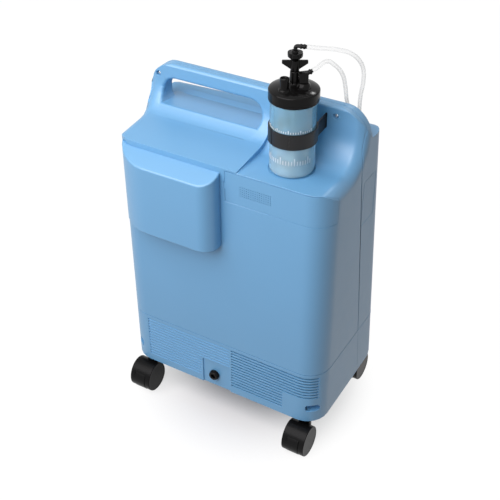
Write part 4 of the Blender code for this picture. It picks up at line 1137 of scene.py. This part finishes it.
class CONCENTRATOR_OT_stage(bpy.types.Operator):
    """Lay the floor, set the lights and the camera"""

    bl_idname = "concentrator.stage"
    bl_label = "Studio stage"

    def execute(self, context):
        stage = context.scene.concentrator_stage
        cleared()
        bpy.ops.mesh.primitive_plane_add(size=FLOOR_SIZE, location=(0, 0, 0))
        floor = bpy.context.object
        floor.name = "studio_floor"
        look = Finish("studio_floor")
        seen = look.seen()
        # Painted light: the floor's own glow rises from almost none round the unit to full white further
        # out, which lightens the outer reach of the cast shadow
        away = look.add("ShaderNodeVectorMath", {"operation": "LENGTH"}, {0: look.place()}, "Value")
        span = {"Value": away, "From Min": SHADOW_SPAN[0], "From Max": SHADOW_SPAN[1]}
        apart = look.add("ShaderNodeMapRange", {"interpolation_type": "SMOOTHSTEP"}, span)
        glow = apart * (1 - stage.floor_glow) + stage.floor_glow
        lit = look.blend(apart, tint(stage.floor), tint(stage.floor, 0.05))
        look.done(
            Base_Color=look.blend(seen, tint(stage.floor, 0.14), lit),
            Roughness=0.9,
            Specular_IOR_Level=0.0,
            Emission_Color=seen * glow,
            Emission_Strength=1.0,
        )
        floor.data.materials.append(look.material)

        world = bpy.data.worlds.new("studio")
        context.scene.world = world
        sky = Finish("studio", world, "Background")
        sky.done(Color=(1, 1, 1, 1), Strength=sky.seen() * (1 - stage.fill) + stage.fill)

        for name, place, width, power in (
            ("key_light", (-0.28, -1.03, 1.35), 1.6, stage.key),
            ("top_light", (0.0, 0.0, 1.9), 1.4, stage.top),
            ("rim_light", (0.20, 0.75, 1.35), 0.12, stage.rim),
        ):
            bpy.ops.object.light_add(type="AREA", location=place)
            lamp = bpy.context.object
            lamp.name = name
            lamp.data.size = width
            lamp.data.energy = power
            lamp.data.color = stage.warmth if name == "key_light" else (1, 1, 1)
            lamp.rotation_euler = (Vector(place) - LAMP_AIM).to_track_quat("Z", "Y").to_euler()

        round_to, rise = stage.azimuth, stage.elevation
        level = math.cos(rise)
        back = Vector((math.sin(round_to) * level, -math.cos(round_to) * level, math.sin(rise)))
        bpy.ops.object.camera_add(location=CAMERA_AIM + back * stage.distance)
        camera = bpy.context.object
        camera.rotation_euler = (-back).to_track_quat("-Z", "Y").to_euler()
        camera.data.sensor_width = SENSOR_MM
        camera.data.lens = stage.lens
        camera.data.clip_start = 0.01
        context.scene.camera = camera
        context.scene.view_settings.view_transform = "Standard"
        return {"FINISHED"}


class CONCENTRATOR_PT_panel(bpy.types.Panel):
    """The concentrator's settings and the steps that make it"""

    bl_label = "Oxygen Concentrator"
    bl_idname = "CONCENTRATOR_PT_panel"
    bl_space_type = "VIEW_3D"
    bl_region_type = "UI"
    bl_category = "Concentrator"

    def draw(self, context):
        for group in SETTINGS:
            settings = getattr(context.scene, group)
            for key in settings.bl_rna.properties.keys():
                if key not in {"rna_type", "name"}:
                    self.layout.prop(settings, key)
        for step in STEPS:
            self.layout.operator(step.bl_idname)


SETTINGS = {
    "concentrator_case": CaseSettings,
    "concentrator_bottle": BottleSettings,
    "concentrator_caster": CasterSettings,
    "concentrator_tube": TubeSettings,
    "concentrator_stage": StageSettings,
}
STEPS = (
    CONCENTRATOR_OT_finishes,
    CONCENTRATOR_OT_stage,
    CONCENTRATOR_OT_tubes,
    CONCENTRATOR_OT_shells,
    CONCENTRATOR_OT_casters,
    CONCENTRATOR_OT_humidifier,
    CONCENTRATOR_OT_strap,
    CONCENTRATOR_OT_fasteners,
    CONCENTRATOR_OT_controls,
    CONCENTRATOR_OT_carried,
)
CLASSES = (*SETTINGS.values(), *STEPS, CONCENTRATOR_PT_panel)


def register():
    for each in CLASSES:
        bpy.utils.register_class(each)
    for name, group in SETTINGS.items():
        setattr(bpy.types.Scene, name, PointerProperty(type=group))


def unregister():
    for name in SETTINGS:
        delattr(bpy.types.Scene, name)
    for each in reversed(CLASSES):
        bpy.utils.unregister_class(each)


def main():
    register()
    for step in STEPS:
        group, action = step.bl_idname.split(".")
        getattr(getattr(bpy.ops, group), action)()


if __name__ == "__main__":
    main()
